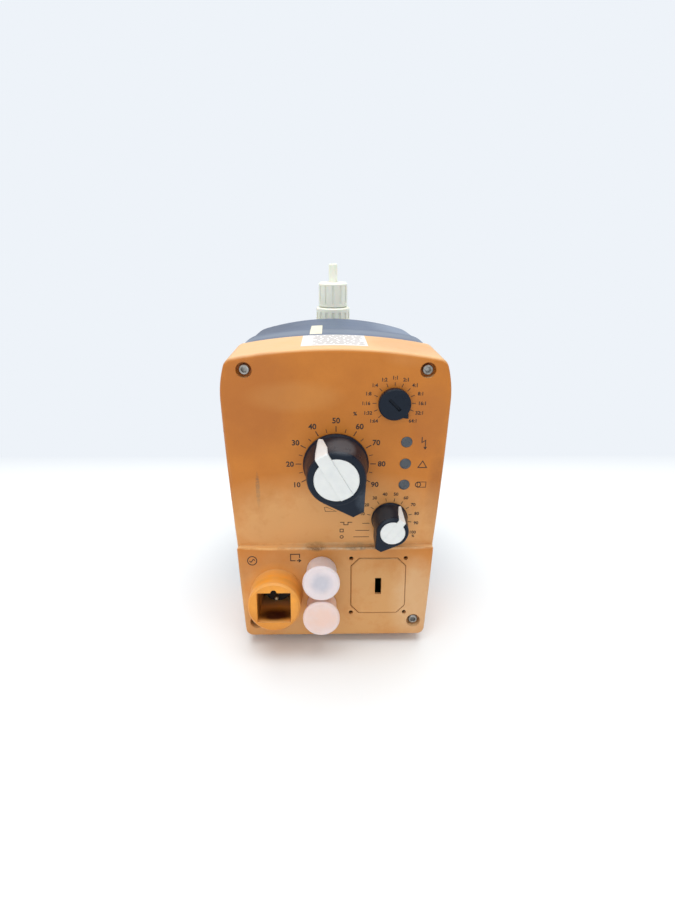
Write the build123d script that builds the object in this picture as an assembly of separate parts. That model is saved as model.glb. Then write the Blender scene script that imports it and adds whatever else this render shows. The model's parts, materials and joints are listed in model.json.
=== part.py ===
from build123d import *

import math
import os

# Solenoid-driven diaphragm metering pump, in millimetres, +Z up.
# The operator panel faces -Y and the liquid end is at +Y. The origin is the centre of
# the foot's bolt pattern, on the underside of the foot.

# ---- driving dimensions ------------------------------------------------------------

# Places of the main axis and of the panel
axis_height = 105.0            # stroke axis above the underside of the foot
panel_to_origin = 84.0         # panel plane in front of the bolt pattern's centre

# Housing outline, seen along the stroke axis
top_rise = 58.0                # crown of the arched top above the stroke axis
arch_radius = 250.0
corner_radius = 6.0            # hood, between the arched top and the shoulder
rear_corner_radius = 15.0      # the same corner on the rear housing
belly_half_width = 55.6        # where the housing is widest
belly_rise = 33.0              # above the stroke axis
shoulder_radius = 55.0         # turns the side inwards above the belly
side_bow = 1.2                 # bulge of the side between the foot and the belly
bottom_half_width = 49.4
bottom_corner_radius = 4.0
least_corner = 1.0

# Depths, measured back from the panel plane
hood_depth = 37.8
belt_depth = 20.9
drum_depth = 52.9
hood_wall = 2.6
housing_wall = 3.0
rear_wall = 4.0
drum_step = 0.9                # the drum is this much slimmer than the belt
drum_arch_radius = 150.0
drum_sink = 0.4                # the drum's crown at the rear, below its front
front_rounding = 2.0
rear_rounding = 3.0

# Connector section of the hood, below the panel
ledge_drop = 47.8              # ledge below the stroke axis
ledge_step = 2.7               # the section stands this far proud of the panel
section_tilt = 9.5             # degrees, its foot towards the user

# Foot
foot_thickness = 5.0
foot_front = 4.0
sole_lap = 0.8  # depth of the sole's top inside the floor of the housing
foot_hole_radius = 3.2
foot_spacing_x = 88.0
foot_spacing_y = 36.0
niche_radius = 7.0
niche_rise = 34.0
niche_wall = 2.4

# Hood screws and their towers
hood_screw_x = 43.2
hood_screw_rise = 47.9
hood_screw_foot = 14.0         # lower pair above the underside of the foot
hood_screw_head_radius = 2.6
hood_screw_head = 2.4
hood_screw_radius = 1.75
hood_screw_key = 1.6           # corner radius of the hexagon socket
hood_screw_key_depth = 1.8
hood_screw_grip = 14.0         # length in the rear housing
tower_radius = 5.2
counterbore_radius = 3.75
counterbore_depth = 3.4

# Gasket between the hood and the rear housing
gasket_width = 1.2
gasket_height = 1.4
gasket_inset = 0.7

# Stroke knob
knob_base_radius = 16.5
knob_rim_radius = 14.2
knob_height = 19.2
knob_gap = 0.5
knob_skirt = 2.4
knob_tail_reach = 21.6
knob_tail_half_width = 3.0
knob_tail_sink = 0.3           # below the knob's face
knob_tail_edge = 0.5
knob_cap_radius = 10.8
knob_cap_depth = 2.6
knob_ridge_width = 6.6
knob_ridge_height = 1.0
knob_tail_start = 5.0
cap_proud = 0.5
spindle_front = 11.0           # reach of the spindle in front of the panel
shaft_front = 6.5              # reach of the function shaft in front of the panel
pointer_shelf = 14.4           # reach of the pointer before it slopes
knob_setting = 40.0            # per cent
knob_setting_at_top = 50.0
degrees_per_cent = 3.0

# Function knob
function_x = 28.4
function_drop = 31.5
function_scale = 0.58          # of the stroke knob's form
function_height = 15.0
function_angle = 33.75         # clockwise from the top

# Pulse selector
pulse_x = 27.9
pulse_rise = 31.8
pulse_radius = 7.8
pulse_height = 3.4
pulse_slot_width = 1.5
pulse_slot_length = 7.6
pulse_slot_depth = 1.2
pulse_angle = 135.0            # clockwise from the top
pulse_tip_reach = 9.9
switch_shaft_radius = 3.0

# Lamps
lamp_x = 35.1
lamp_pitch = 11.75
lamp_radius = 2.8
lamp_proud = 0.4
lamp_guide_radius = 1.9

# Running clearance of the shafts in their holes and bushes
running_gap = 0.06
seat_gap = 0.05

# Boards
board_depth = 10.5             # front face of the control board behind the panel
board_thickness = 1.6
board_half_width = 46.0
board_rise = 41.0
board_drop = 41.0
board_post_x = 41.0
board_post_rise = 35.5
board_post_radius = 3.0
switch_side = 15.0
switch_height = 6.2
switch_floor = 1.4            # wall behind a switch's shaft
board_screw_length = 5.0
lamp_chip = 1.2
board_screw_radius = 1.2
power_board_depth = 16.0
power_board_half_width = 36.0
power_board_top = 50.5         # below the stroke axis
power_board_foot = 9.5          # its lower edge above the underside of the foot
power_post_radius = 2.4
power_post_margin = 2.7
power_post_foot = 13.0         # lower pair above the underside of the foot
power_post_upper = (-26.0, 30.0)
power_post_lower = (-18.0, 20.0)

# Mains inlet
mains_from_side = 23.6         # its axis from the level of the belly
mains_down = 26.3              # below the ledge, along the section's face
mains_radius = 14.1
mains_tip_radius = 13.6
mains_height = 15.5
mains_recess_width = 17.3
mains_recess_height = 16.6
mains_recess_depth = 22.0
mains_key_radius = 1.6
mains_insert_length = 9.0
mains_plug_radius = 8.0        # round front of the insert
mains_flange_length = 3.0
mains_pin_pitch = 5.2
mains_pin_radius = 1.1
mains_pin_length = 9.0
mains_pocket_wall = 1.8

# Signal sockets and their caps
socket_x = -7.6
socket_down = 13.1
socket_pitch = 20.0
socket_radius = 5.9
socket_height = 9.5
socket_flange_radius = 8.6
socket_flange = 1.6
socket_tail = 9.0
socket_bore = 4.6
socket_floor = 1.5
contact_radius = 0.55
contact_circle = 2.6
cap_radius = 8.1
cap_rim_radius = 9.6
cap_height = 15.6
cap_rim_height = 3.4
cap_top = 2.4
cap_gap = 0.3

# Knock-out cover
cover_x = 23.2
cover_down = 22.4
cover_width = 29.4
cover_height = 32.1
cover_chamfer = 4.5
cover_thickness = 2.0
cover_slot_width = 3.4
cover_slot_length = 9.5
cover_hole_radius = 1.15
cover_seat = 1.5
cover_gap = 0.3                # groove round the cover
cover_edge = 0.4
cover_lip = 2.4

# Solenoid
solenoid_front = 31.0          # depth of the shell's open end
shell_radius = 37.0
shell_wall = 5.0
shell_floor = 9.0
front_cover_thickness = 8.0
bobbin_radius = 17.0
bobbin_wall = 1.3
bobbin_flange = 2.0
pole_radius = 15.4
pole_length = 27.0
armature_radius = 15.2
armature_length = 33.0
stroke = 1.25
pole_margin = 0.4              # air gap left at the end of the stroke
rod_radius = 4.0
bush_radius = 6.0
bush_length = 7.0
spring_radius = 6.3
spring_wire = 0.8
spring_turns = 5
spring_pocket = 8.2
spring_seat_depth = 3.0
spring_length = 12.0
rod_seat = 8.0                 # armature iron in front of the rod
rod_tip_radius = 2.6
rod_tip_length = 4.5

# Stroke spindle
spindle_radius = 4.0
spindle_bush_radius = 7.0
spindle_bush_length = 13.0
spindle_tip_gap = 0.8          # spindle tip to armature at the setting shown

# Liquid end
head_side = 66.0
head_corner_radius = 16.0
disc_thickness = 8.4
head_thickness = 29.0
head_rounding = 2.0
spigot_radius = 21.8
core_bore = 9.5
spigot_length = 2.5
dish_depth = 2.0
chamber_radius = 18.0
chamber_depth = 2.4
diaphragm_radius = 24.0
diaphragm_thickness = 2.0
core_radius = 8.0
core_length = 6.4
leak_hole_radius = 1.5
head_screw_spacing = 46.0
head_screw_radius = 2.5
head_screw_head_radius = 4.25
head_screw_head = 5.0
head_screw_grip = 6.0          # length in the solenoid's rear flange
washer_thickness = 1.0
socket_boss_radius = 14.0
socket_boss_top = 35.0         # valve socket's face, from the stroke axis
valve_depth = 14.5             # valve axis behind the head's front face
passage_radius = 2.4
passage_level = 10.5

# Valves
plug_radius = 9.0
plug_start = 20.5              # inner end of the valve body, from the stroke axis
o_ring_wire = 0.75
collar_radius = 11.75
collar_end = 61.5
collar_ribs = 16
rib_depth = 0.7
nipple_radius = 7.9
nipple_end = 70.0
seat_radius = 6.0
seat_height = 4.0
seat_bore = 2.6
seat_chamfer = 0.8
ball_radius = 4.0
ball_lift = 1.5
ball_bore = 4.7
nut_radius = 10.0
nut_start = 62.0
nut_end = 78.0
nut_grooves = 12
nut_groove_depth = 0.5
nozzle_flange_radius = 7.2
nozzle_flange = 3.0
nozzle_radius = 3.0
nozzle_bore = 1.7
nozzle_end = 90.0
nozzle_neck_radius = 4.0
nozzle_neck_proud = 0.4        # the neck stands this far out of the nut
nozzle_chamfer = 0.5

# Bleed valve
bleed_rise = 15.0
bleed_spindle_radius = 3.0
bleed_knob_radius = 9.0
bleed_knob_height = 9.0
bleed_knob_gap = 1.2
bleed_lobes = 4
bleed_nozzle_radius = 2.2
bleed_nozzle_reach = 16.0
bleed_nozzle_bore = 1.1
bleed_nozzle_seat = 5.0
bleed_nozzle_depth = 21.0      # behind the head's front face

# ---- derived places ----------------------------------------------------------------

belt_end = hood_depth + belt_depth
drum_end = belt_end + drum_depth
bottom_level = foot_thickness - axis_height
disc_end = drum_end + disc_thickness
head_end = disc_end + head_thickness
valve_axis = disc_end + valve_depth
solenoid_rear = drum_end - rear_wall
armature_rear = solenoid_rear - pole_length - stroke - pole_margin
armature_front = armature_rear - armature_length
hood_screw_drop = axis_height - hood_screw_foot
mains_x = mains_from_side - belly_half_width
power_board_height = axis_height - power_board_foot - power_board_top
power_posts = [(x, -power_board_top - power_post_margin) for x in power_post_upper]
power_posts += [(x, power_post_foot - axis_height) for x in power_post_lower]
ledge_tilt = math.radians(section_tilt)
section_reach = ledge_step + (-bottom_level - ledge_drop) * math.tan(ledge_tilt) + 5.0

# Panel frame: X to the right, Y up, Z out of the panel, from the stroke axis.
panel = Plane(origin=(0, -panel_to_origin, axis_height), x_dir=(1, 0, 0), z_dir=(0, -1, 0))
# Stroke frame: Z back into the pump along the stroke axis, from the panel plane.
inward = Plane(origin=(0, -panel_to_origin, axis_height), x_dir=(1, 0, 0), z_dir=(0, 1, 0))
# Section frame: on the tilted connector section, Y up along its face, from the ledge.
section = Plane(
    origin=(0, -panel_to_origin - ledge_step, axis_height - ledge_drop),
    x_dir=(1, 0, 0),
    z_dir=(0, -math.cos(ledge_tilt), math.sin(ledge_tilt)),
)
# Valve frame: Z up, from the stroke axis at the depth of the valves.
valve_frame = Plane(origin=(0, valve_axis - panel_to_origin, axis_height))

# Across the head, X turned to the side, for the bleed nozzle.
bleed_nozzle_y = disc_end + bleed_nozzle_depth - panel_to_origin
bleed_side = Location((0, bleed_nozzle_y, axis_height + bleed_rise), (0, 90, 0))


# ---- helpers -----------------------------------------------------------------------


def placed(frame, shape, x=0.0, y=0.0, z=0.0, turn=0.0):
    """The shape put at x, y, z in a frame, after a turn about its own Z."""
    return frame.location * Pos(x, y, z) * Rot(0, 0, turn) * shape


def rod(radius, start, end):
    """A cylinder along Z from one height to another."""
    return extrude(Plane.XY.offset(start) * Circle(radius), end - start)


def tube(outer, inner, start, end):
    """A ring along Z from one height to another."""
    return rod(outer, start, end) - rod(inner, start - 1, end + 1)


def turned(*points):
    """A solid of revolution about Z from its outline of radius and height."""
    outline = make_face(Polyline(*points, close=True))
    return revolve(Plane.XZ * outline, Axis.Z)


def bar(width, height, start, end, x=0.0, y=0.0):
    """A rectangular bar along Z, centred at x, y."""
    return Pos(x, y, 0) * extrude(Plane.XY.offset(start) * Rectangle(width, height), end - start)


def ring(radius, wire, level):
    """A torus about Z at a height."""
    return Pos(0, 0, level) * Torus(radius, wire)


def signs():
    """The four corners as pairs of signs."""
    return [(-1, -1), (1, -1), (-1, 1), (1, 1)]


# ---- housing -----------------------------------------------------------------------


def corner_angle(reach, radius, crown, arch):
    """Angle of the shoulder's end, where its arc meets the arch, about the shoulder's centre."""
    side = reach - radius
    drop = belly_rise - (crown - arch)
    span = math.hypot(side, drop)
    along = (span**2 + radius**2 - arch**2) / (2 * span * radius)
    return math.acos(along) - math.atan2(drop, side)


def outline(depth, inset=0.0, crown=top_rise, arch=arch_radius, corner=corner_radius):
    """The housing's outline in the stroke frame's XY, at a depth behind the panel."""
    reach = belly_half_width - inset
    radius = shoulder_radius - inset
    angle = corner_angle(reach, radius, crown - inset, arch - inset)
    bottom = bottom_level + inset
    foot = bottom_half_width - inset
    middle = (bottom + belly_rise) / 2
    shoulder = [
        (reach - radius + radius * math.cos(turn), belly_rise + radius * math.sin(turn))
        for turn in (angle / 2, angle)
    ]
    lines = [Line((-foot, -bottom), (foot, -bottom))]
    for side in (1, -1):
        belly = (side * reach, -belly_rise)
        bowed = (side * ((foot + reach) / 2 + side_bow), -middle)
        halfway, end = [(side * x, -rise) for x, rise in shoulder]
        lines.append(ThreePointArc((side * foot, -bottom), bowed, belly))
        lines.append(ThreePointArc(belly, halfway, end))
    right, left = [(side * shoulder[1][0], -shoulder[1][1]) for side in (1, -1)]
    lines.append(ThreePointArc(right, (0, inset - crown), left))
    face = make_face(lines)
    corners = face.vertices().sort_by(Axis.Y)
    face = fillet(corners[:2], max(corner - inset, least_corner))
    feet = face.vertices().sort_by(Axis.Y)[-2:]
    face = fillet(feet, max(bottom_corner_radius - inset, least_corner))
    return Plane.XY.offset(depth) * face


def rear_outline(depth, inset=0.0, crown=top_rise, arch=arch_radius):
    """The rear housing's outline, with its rounder corners."""
    return outline(depth, inset, crown, arch, rear_corner_radius)


def hood_block(inset):
    """The hood's body: the outline run back from the stepped and tilted front."""
    front = -ledge_step - section_reach
    end = hood_depth if inset == 0 else hood_depth + 1.0
    prism = extrude(outline(front, inset), end - front)
    slant = math.tan(ledge_tilt)
    shift = inset / math.cos(ledge_tilt)
    top = top_rise + 5.0
    ledge = ledge_drop + inset
    foot = -bottom_level + 5.0
    ledge_depth = shift - ledge_step - inset * slant
    # Each point is (drop below the stroke axis, depth behind the panel).
    profile = make_face(
        Polyline(
            (-top, inset),
            (ledge, inset),
            (ledge, ledge_depth),
            (foot, ledge_depth - slant * (foot - ledge)),
            (foot, end),
            (-top, end),
            close=True,
        )
    )
    reach = belly_half_width + 1.0
    across = Plane(origin=(-reach, 0, 0), x_dir=(0, 1, 0), z_dir=(1, 0, 0))
    return prism & extrude(across * profile, 2 * reach)


def screw_places():
    """Places of the four hood screws in the stroke frame."""
    places = []
    for side, end in signs():
        drop = hood_screw_drop if end > 0 else -hood_screw_rise
        places.append((side * hood_screw_x, drop))
    return places


def face_depth(drop):
    """Depth of the hood's front face at a drop below the stroke axis."""
    if drop < ledge_drop:
        return 0.0
    return -ledge_step - (drop - ledge_drop) * math.tan(ledge_tilt)


def in_section(shape, x, down, turn=0.0):
    """A shape from the section frame, given in the stroke frame."""
    return inward.location.inverse() * placed(section, shape, x, -down, 0, turn)


def octagon(width, height, chamfer_length):
    """A rectangle with cut corners."""
    plate = Rectangle(width, height)
    return chamfer(plate.vertices(), chamfer_length)


def front_hood():
    """The operator hood with its panel, towers, posts and connector section."""
    outer = hood_block(0)
    front = [e for e in outer.edges() if e.bounding_box().max.Z < hood_depth - 1]
    rim = [e for e in front if abs(e.center().X) > 1 or e.center().Y < ledge_drop - 1]
    outer = fillet(rim, front_rounding)
    hood = outer - hood_block(hood_wall)
    for x, y in screw_places():
        tower = Pos(x, y, 0) * rod(tower_radius, -section_reach, hood_depth)
        hood += tower & outer
    for side, end in signs():
        post = rod(board_post_radius, hood_wall - seat_gap, board_depth)
        hood += Pos(side * board_post_x, end * board_post_rise, 0) * post
    for x, rise in power_posts:
        post = Pos(x, -rise, 0) * rod(power_post_radius, -section_reach, power_board_depth)
        hood += post & outer
    boss = turned(
        (0, -front_rounding),
        (mains_radius, -front_rounding),
        (mains_radius, 0),
        (mains_tip_radius, mains_height - 1),
        (mains_tip_radius - 1, mains_height),
        (0, mains_height),
    )
    pocket_end = mains_height - mains_recess_depth - mains_insert_length
    pocket = bar(
        mains_recess_width + 2 * mains_pocket_wall,
        mains_recess_height + 2 * mains_pocket_wall,
        pocket_end,
        0,
    )
    hood += in_section(boss, mains_x, mains_down)
    hood += in_section(pocket, mains_x, mains_down) & outer
    hood -= in_section(mains_recess(pocket_end - 1, mains_height + 1), mains_x, mains_down)
    hood -= rod(spindle_radius + 0.5, -1, hood_wall + 1)
    for x, drop in ((pulse_x, -pulse_rise), (function_x, function_drop)):
        hood -= Pos(x, drop, 0) * rod(switch_shaft_radius + 0.2, -1, hood_wall + 1)
    for step in (-1, 0, 1):
        lamp = rod(lamp_radius + seat_gap, -1, hood_wall + 1)
        hood -= Pos(lamp_x, step * lamp_pitch, 0) * lamp
    for step in (0, 1):
        hole = rod(socket_radius + seat_gap, -hood_wall - 1, 1)
        hood -= in_section(hole, socket_x, socket_down + step * socket_pitch)
    seat = extrude(
        Plane.XY.offset(-cover_seat)
        * octagon(cover_width + 2 * cover_gap, cover_height + 2 * cover_gap, cover_chamfer),
        cover_seat + 1,
    )
    window = extrude(
        Plane.XY.offset(-hood_wall - 1)
        * octagon(cover_width - 2 * cover_lip, cover_height - 2 * cover_lip, cover_chamfer),
        hood_wall + 1,
    )
    hood -= in_section(seat + window, cover_x, cover_down)
    for side, end in signs():
        x = cover_x + side * cover_width / 2
        down = cover_down + end * cover_height / 2
        hood -= in_section(rod(cover_hole_radius, -hood_wall - 1, 1), x, down)
    for x, y in screw_places():
        face = face_depth(y)
        hood -= Pos(x, y, 0) * rod(hood_screw_radius + seat_gap, face - 5, hood_depth + 1)
        hood -= Pos(x, y, 0) * rod(counterbore_radius, face - 5, counterbore_floor(y))
    for side, end in signs():
        hole = rod(board_screw_radius + seat_gap, board_depth - board_screw_length, board_depth + 1)
        hood -= Pos(side * board_post_x, end * board_post_rise, 0) * hole
    return inward.location * hood


def counterbore_floor(drop):
    """Depth at which a hood screw's head seats."""
    return face_depth(drop) + counterbore_depth


def mains_recess(start, end):
    """The inlet's rectangular recess with its small key notch."""
    recess = bar(mains_recess_width, mains_recess_height, start, end)
    key = Pos(0, mains_recess_height / 2, 0) * rod(mains_key_radius, start, end)
    return recess + key


def hood_screws():
    """Four socket-head screws that hold the hood."""
    screws = []
    for x, y in screw_places():
        floor = counterbore_floor(y)
        head = rod(hood_screw_head_radius, floor - hood_screw_head, floor)
        head = chamfer(head.edges().sort_by(Axis.Z)[0], 0.4)
        shank = rod(hood_screw_radius, floor, hood_depth + hood_screw_grip)
        top = Plane.XY.offset(floor - hood_screw_head)
        socket = extrude(top * RegularPolygon(hood_screw_key, 6), hood_screw_key_depth)
        screws.append(Pos(x, y, 0) * (head + shank - socket))
    return inward.location * Compound(screws)


def rear_housing():
    """The rear housing with its foot, screw bosses and niches."""
    belt = extrude(rear_outline(hood_depth), belt_depth)
    drum_front = rear_outline(belt_end, drum_step)
    drum_rear = rear_outline(
        drum_end, drum_step, crown=top_rise - drum_sink, arch=drum_arch_radius
    )
    drum = loft([drum_front.face(), drum_rear.face()], ruled=True)
    rear_edges = drum.faces().sort_by(Axis.Z)[-1].edges()
    drum = fillet(rear_edges, rear_rounding)
    outer = belt + drum
    slim = drum_step + housing_wall
    cavity_front = rear_outline(hood_depth - 1, slim)
    cavity_rear = rear_outline(
        drum_end - rear_wall, slim, crown=top_rise - drum_sink, arch=drum_arch_radius
    )
    cavity = loft([cavity_front.face(), cavity_rear.face()], ruled=True)
    housing = outer - cavity
    for x, y in screw_places():
        boss = rod(tower_radius, hood_depth, hood_depth + hood_screw_grip + 2)
        housing += (Pos(x, y, 0) * boss) & outer
    sole_top = sole_lap - bottom_level - drum_step - housing_wall
    sole = bar(
        2 * bottom_half_width,
        axis_height - sole_top,
        foot_front,
        drum_end,
        y=(axis_height + sole_top) / 2,
    )
    under_hood = bar(
        4 * bottom_half_width,
        2 * (-bottom_level - sole_top),
        foot_front - 1,
        hood_depth,
        y=sole_top,
    )
    housing += sole - under_hood
    housing = inward.location * housing
    outer = inward.location * outer
    for side, end in signs():
        x = side * foot_spacing_x / 2
        y = end * foot_spacing_y / 2
        niche_top = foot_thickness + niche_rise
        shroud_side = 2 * (niche_radius + niche_wall)
        shroud = rod(niche_radius + niche_wall, 1, niche_top + niche_wall)
        shroud += bar(shroud_side, shroud_side, 1, niche_top + niche_wall, x=side * shroud_side / 2)
        housing += (Pos(x, y, 0) * shroud) & outer
    for side, end in signs():
        x = side * foot_spacing_x / 2
        y = end * foot_spacing_y / 2
        niche = rod(niche_radius, foot_thickness, niche_top)
        niche += bar(
            2 * niche_radius, 2 * niche_radius, foot_thickness, niche_top, x=side * niche_radius
        )
        housing -= Pos(x, y, 0) * niche
        housing -= Pos(x, y, 0) * rod(foot_hole_radius, -1, foot_thickness + 1)
    cuts = rod(spigot_radius + seat_gap, drum_end - rear_wall - 1, drum_end + 1)
    for x, y in head_screw_places():
        cuts += Pos(x, y, 0) * rod(head_screw_radius + 0.2, drum_end - rear_wall - 1, drum_end + 1)
    for x, y in screw_places():
        pilot = rod(hood_screw_radius + seat_gap, hood_depth - 1, hood_depth + hood_screw_grip + 3)
        cuts += Pos(x, y, 0) * pilot
    housing -= inward.location * cuts
    return housing - gasket_ring()


def gasket_ring():
    """The seal between the hood and the rear housing."""
    outer = extrude(rear_outline(hood_depth, gasket_inset), gasket_height)
    inner = extrude(rear_outline(hood_depth - 1, gasket_inset + gasket_width), gasket_height + 2)
    return inward.location * (outer - inner)


# ---- inlet, sockets and cover ------------------------------------------------------


def on_section(shape, x, down):
    """A shape placed on the connector section."""
    return placed(section, shape, x, -down)


def mains_insert():
    """The insulating block that closes the inlet's recess, with a round front."""
    rear = mains_height - mains_recess_depth - mains_insert_length
    front = mains_height - mains_recess_depth
    block = bar(
        mains_recess_width - 2 * seat_gap,
        mains_recess_height - 2 * seat_gap,
        rear,
        rear + mains_flange_length,
    )
    block += rod(mains_plug_radius, rear + mains_flange_length, front)
    for step in (-1, 0, 1):
        hole = rod(mains_pin_radius + seat_gap, rear - 1, front + 1)
        block -= Pos(step * mains_pin_pitch, pin_rise(step), 0) * hole
    return on_section(block, mains_x, mains_down)


def pin_rise(step):
    """The middle pin stands lower than the outer two."""
    return -2.2 if step == 0 else 2.2


def mains_pins():
    """Three contact pins in the insert."""
    rear = mains_height - mains_recess_depth - mains_insert_length - 2
    front = mains_height - mains_recess_depth + mains_pin_length
    pins = []
    for step in (-1, 0, 1):
        pin = rod(mains_pin_radius, rear, front)
        pin = chamfer(pin.edges().sort_by(Axis.Z)[-1], 0.4)
        pins.append(Pos(step * mains_pin_pitch, pin_rise(step), 0) * pin)
    return on_section(Compound(pins), mains_x, mains_down)


def signal_socket(number):
    """A round socket: barrel, inner flange and tail."""
    flange_end = -hood_wall - socket_flange
    barrel = turned(
        (0, flange_end - socket_tail),
        (socket_radius - 1.2, flange_end - socket_tail),
        (socket_radius - 1.2, flange_end),
        (socket_flange_radius, flange_end),
        (socket_flange_radius, -hood_wall),
        (socket_radius, -hood_wall),
        (socket_radius, socket_height - 0.6),
        (socket_radius - 0.6, socket_height),
        (socket_bore, socket_height),
        (socket_bore, socket_floor),
        (0, socket_floor),
    )
    for place in contact_places():
        barrel -= place * rod(contact_radius + seat_gap, flange_end - socket_tail - 1, socket_floor + 1)
    return on_section(barrel, socket_x, socket_down + number * socket_pitch)


def contact_places():
    """Places of a socket's contacts round its axis."""
    return [Rot(0, 0, 45 + 90 * k) * Pos(contact_circle, 0, 0) for k in range(4)]


def socket_contacts():
    """The contact pins of both sockets."""
    rear = -hood_wall - socket_flange - socket_tail - 1.5
    pins = []
    for number in (0, 1):
        group = [place * rod(contact_radius, rear, socket_height - 1.5) for place in contact_places()]
        pins.append(
            on_section(Compound(group), socket_x, socket_down + number * socket_pitch)
        )
    return Compound(pins)


def socket_cap(number):
    """A push-on cap with a wider rim at its outer end."""
    cap = turned(
        (socket_radius + running_gap, cap_gap),
        (cap_radius, cap_gap),
        (cap_radius, cap_height - cap_rim_height),
        (cap_rim_radius, cap_height - cap_rim_height + 1.2),
        (cap_rim_radius, cap_height - 1.0),
        (cap_rim_radius - 1.0, cap_height),
        (0, cap_height),
        (0, cap_height - cap_top),
        (socket_radius + running_gap, cap_height - cap_top),
    )
    return on_section(cap, socket_x, socket_down + number * socket_pitch)


def knock_out_cover():
    """The octagonal cover with its grip slot."""
    cover = extrude(
        Plane.XY.offset(-cover_seat) * octagon(cover_width, cover_height, cover_chamfer),
        cover_thickness,
    )
    cover = chamfer(cover.faces().sort_by(Axis.Z)[-1].edges(), cover_edge)
    slot = bar(cover_slot_width, cover_slot_length, -cover_seat - 1, cover_thickness)
    return on_section(cover - slot, cover_x, cover_down)


# ---- controls ----------------------------------------------------------------------


def knob_cap_shape(scale, top):
    """The white cap, its ridge and the pointer down the knob's side, pointing to +Y."""
    half_ridge = knob_ridge_width * scale / 2
    ridge_top = top + knob_ridge_height * scale
    shelf = pointer_shelf * scale
    tip = (knob_base_radius + 0.4) * scale
    foot = knob_gap + knob_skirt * scale
    disc = rod(knob_cap_radius * scale, top - knob_cap_depth * scale, top + cap_proud)
    disc = chamfer(disc.edges().sort_by(Axis.Z)[-1], cap_proud * 0.6)
    side = make_face(
        Polyline(
            (-knob_cap_radius * scale * 0.96, top - 1.0 * scale),
            (-knob_cap_radius * scale * 0.96, ridge_top - 0.4 * scale),
            (-knob_cap_radius * scale * 0.80, ridge_top),
            (shelf - 0.6 * scale, ridge_top),
            (shelf, ridge_top - 0.6 * scale),
            (tip, foot),
            (tip - 2.0 * scale, foot),
            (shelf - 2.4 * scale, top - 2.4 * scale),
            close=True,
        )
    )
    profile = Plane(origin=(-half_ridge, 0, 0), x_dir=(0, 1, 0), z_dir=(1, 0, 0)) * side
    ridge = extrude(profile, 2 * half_ridge)
    plan = make_face(
        Polyline(
            (-half_ridge, -knob_base_radius * scale),
            (half_ridge, -knob_base_radius * scale),
            (half_ridge, shelf),
            (0, tip + 0.1 * scale),
            (-half_ridge, shelf),
            close=True,
        )
    )
    ridge = ridge & extrude(plan, 2 * knob_height)
    return disc + ridge


def knob_shape(scale, top, bore, bore_end):
    """The black knob with its grip tail opposite the pointer."""
    body = turned(
        (0, knob_gap),
        (knob_base_radius * scale, knob_gap),
        (knob_base_radius * scale, knob_gap + 1.2 * scale),
        (knob_base_radius * scale - 0.7 * scale, knob_gap + knob_skirt * scale),
        (knob_rim_radius * scale, top - 1.6 * scale),
        (knob_rim_radius * scale - 0.5 * scale, top - 0.4 * scale),
        (knob_rim_radius * scale - 1.3 * scale, top),
        (0, top),
    )
    reach = knob_tail_reach * scale
    half = knob_tail_half_width * scale
    rim = (knob_rim_radius - 0.2) * scale
    spread = math.acos(rim / math.hypot(reach, half)) + math.atan2(half, reach)
    tangent_x = rim * math.sin(spread)
    tangent_y = -rim * math.cos(spread)
    plan = make_face(
        Polyline(
            (0, 0),
            (-tangent_x, tangent_y),
            (-half, -reach),
            (half, -reach),
            (tangent_x, tangent_y),
            close=True,
        )
    )
    start = knob_tail_start * scale
    tail = extrude(Plane.XY.offset(start) * plan, top - knob_tail_sink * scale - start)
    rim_edges = tail.faces().sort_by(Axis.Z)[-1].edges()
    outer_edges = [edge for edge in rim_edges if edge.center().Y < tangent_y * 0.99]
    tail = chamfer(outer_edges, knob_tail_edge * scale)
    hole = rod(bore, -1, bore_end)
    return body + tail - hole - knob_cap_shape(scale, top)


def stroke_turn():
    """Turn of the stroke knob about the panel's normal at its setting."""
    return (knob_setting_at_top - knob_setting) * degrees_per_cent


def stroke_knob():
    """The large knob that sets the stroke length."""
    shape = knob_shape(1.0, knob_height, spindle_radius + running_gap, spindle_front + 2.0)
    return placed(panel, shape, turn=stroke_turn())


def stroke_knob_cap():
    """Its white cap and pointer."""
    return placed(panel, knob_cap_shape(1.0, knob_height), turn=stroke_turn())


def function_knob():
    """The small knob that selects the operating mode."""
    shape = knob_shape(function_scale, function_height, switch_shaft_radius, shaft_front)
    return placed(panel, shape, function_x, -function_drop, turn=-function_angle)


def function_knob_cap():
    """Its white cap and pointer."""
    shape = knob_cap_shape(function_scale, function_height)
    return placed(panel, shape, function_x, -function_drop, turn=-function_angle)


def function_shaft():
    """The shaft from the small knob to its switch."""
    shape = rod(switch_shaft_radius, switch_floor - board_depth, shaft_front)
    return placed(panel, shape, function_x, -function_drop)


def pulse_selector():
    """The slotted cap of the pulse selector with its stem."""
    cap = rod(pulse_radius, knob_gap, pulse_height)
    tip_half = math.radians(16)
    foot_x = pulse_radius * math.sin(tip_half)
    foot_y = pulse_radius * math.cos(tip_half) - 0.3
    tip = make_face(
        Polyline((-foot_x, foot_y), (foot_x, foot_y), (0, pulse_tip_reach), close=True)
    )
    cap = chamfer(cap.edges().sort_by(Axis.Z)[-1], 0.5)
    cap += extrude(Plane.XY.offset(knob_gap) * tip, pulse_height - knob_gap - 0.8)
    cap -= bar(pulse_slot_width, pulse_slot_length, pulse_height - pulse_slot_depth, pulse_height + 1)
    stem = rod(switch_shaft_radius, switch_floor - board_depth, knob_gap + 0.1)
    return placed(panel, cap + stem, pulse_x, pulse_rise, turn=-pulse_angle)


def rotary_switch(x, rise):
    """A square rotary switch on the control board, bored for its shaft."""
    body = bar(switch_side, switch_side, -board_depth, -board_depth + switch_height)
    body -= rod(switch_shaft_radius + running_gap, switch_floor - board_depth - running_gap, 1)
    return placed(panel, body, x, rise)


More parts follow.
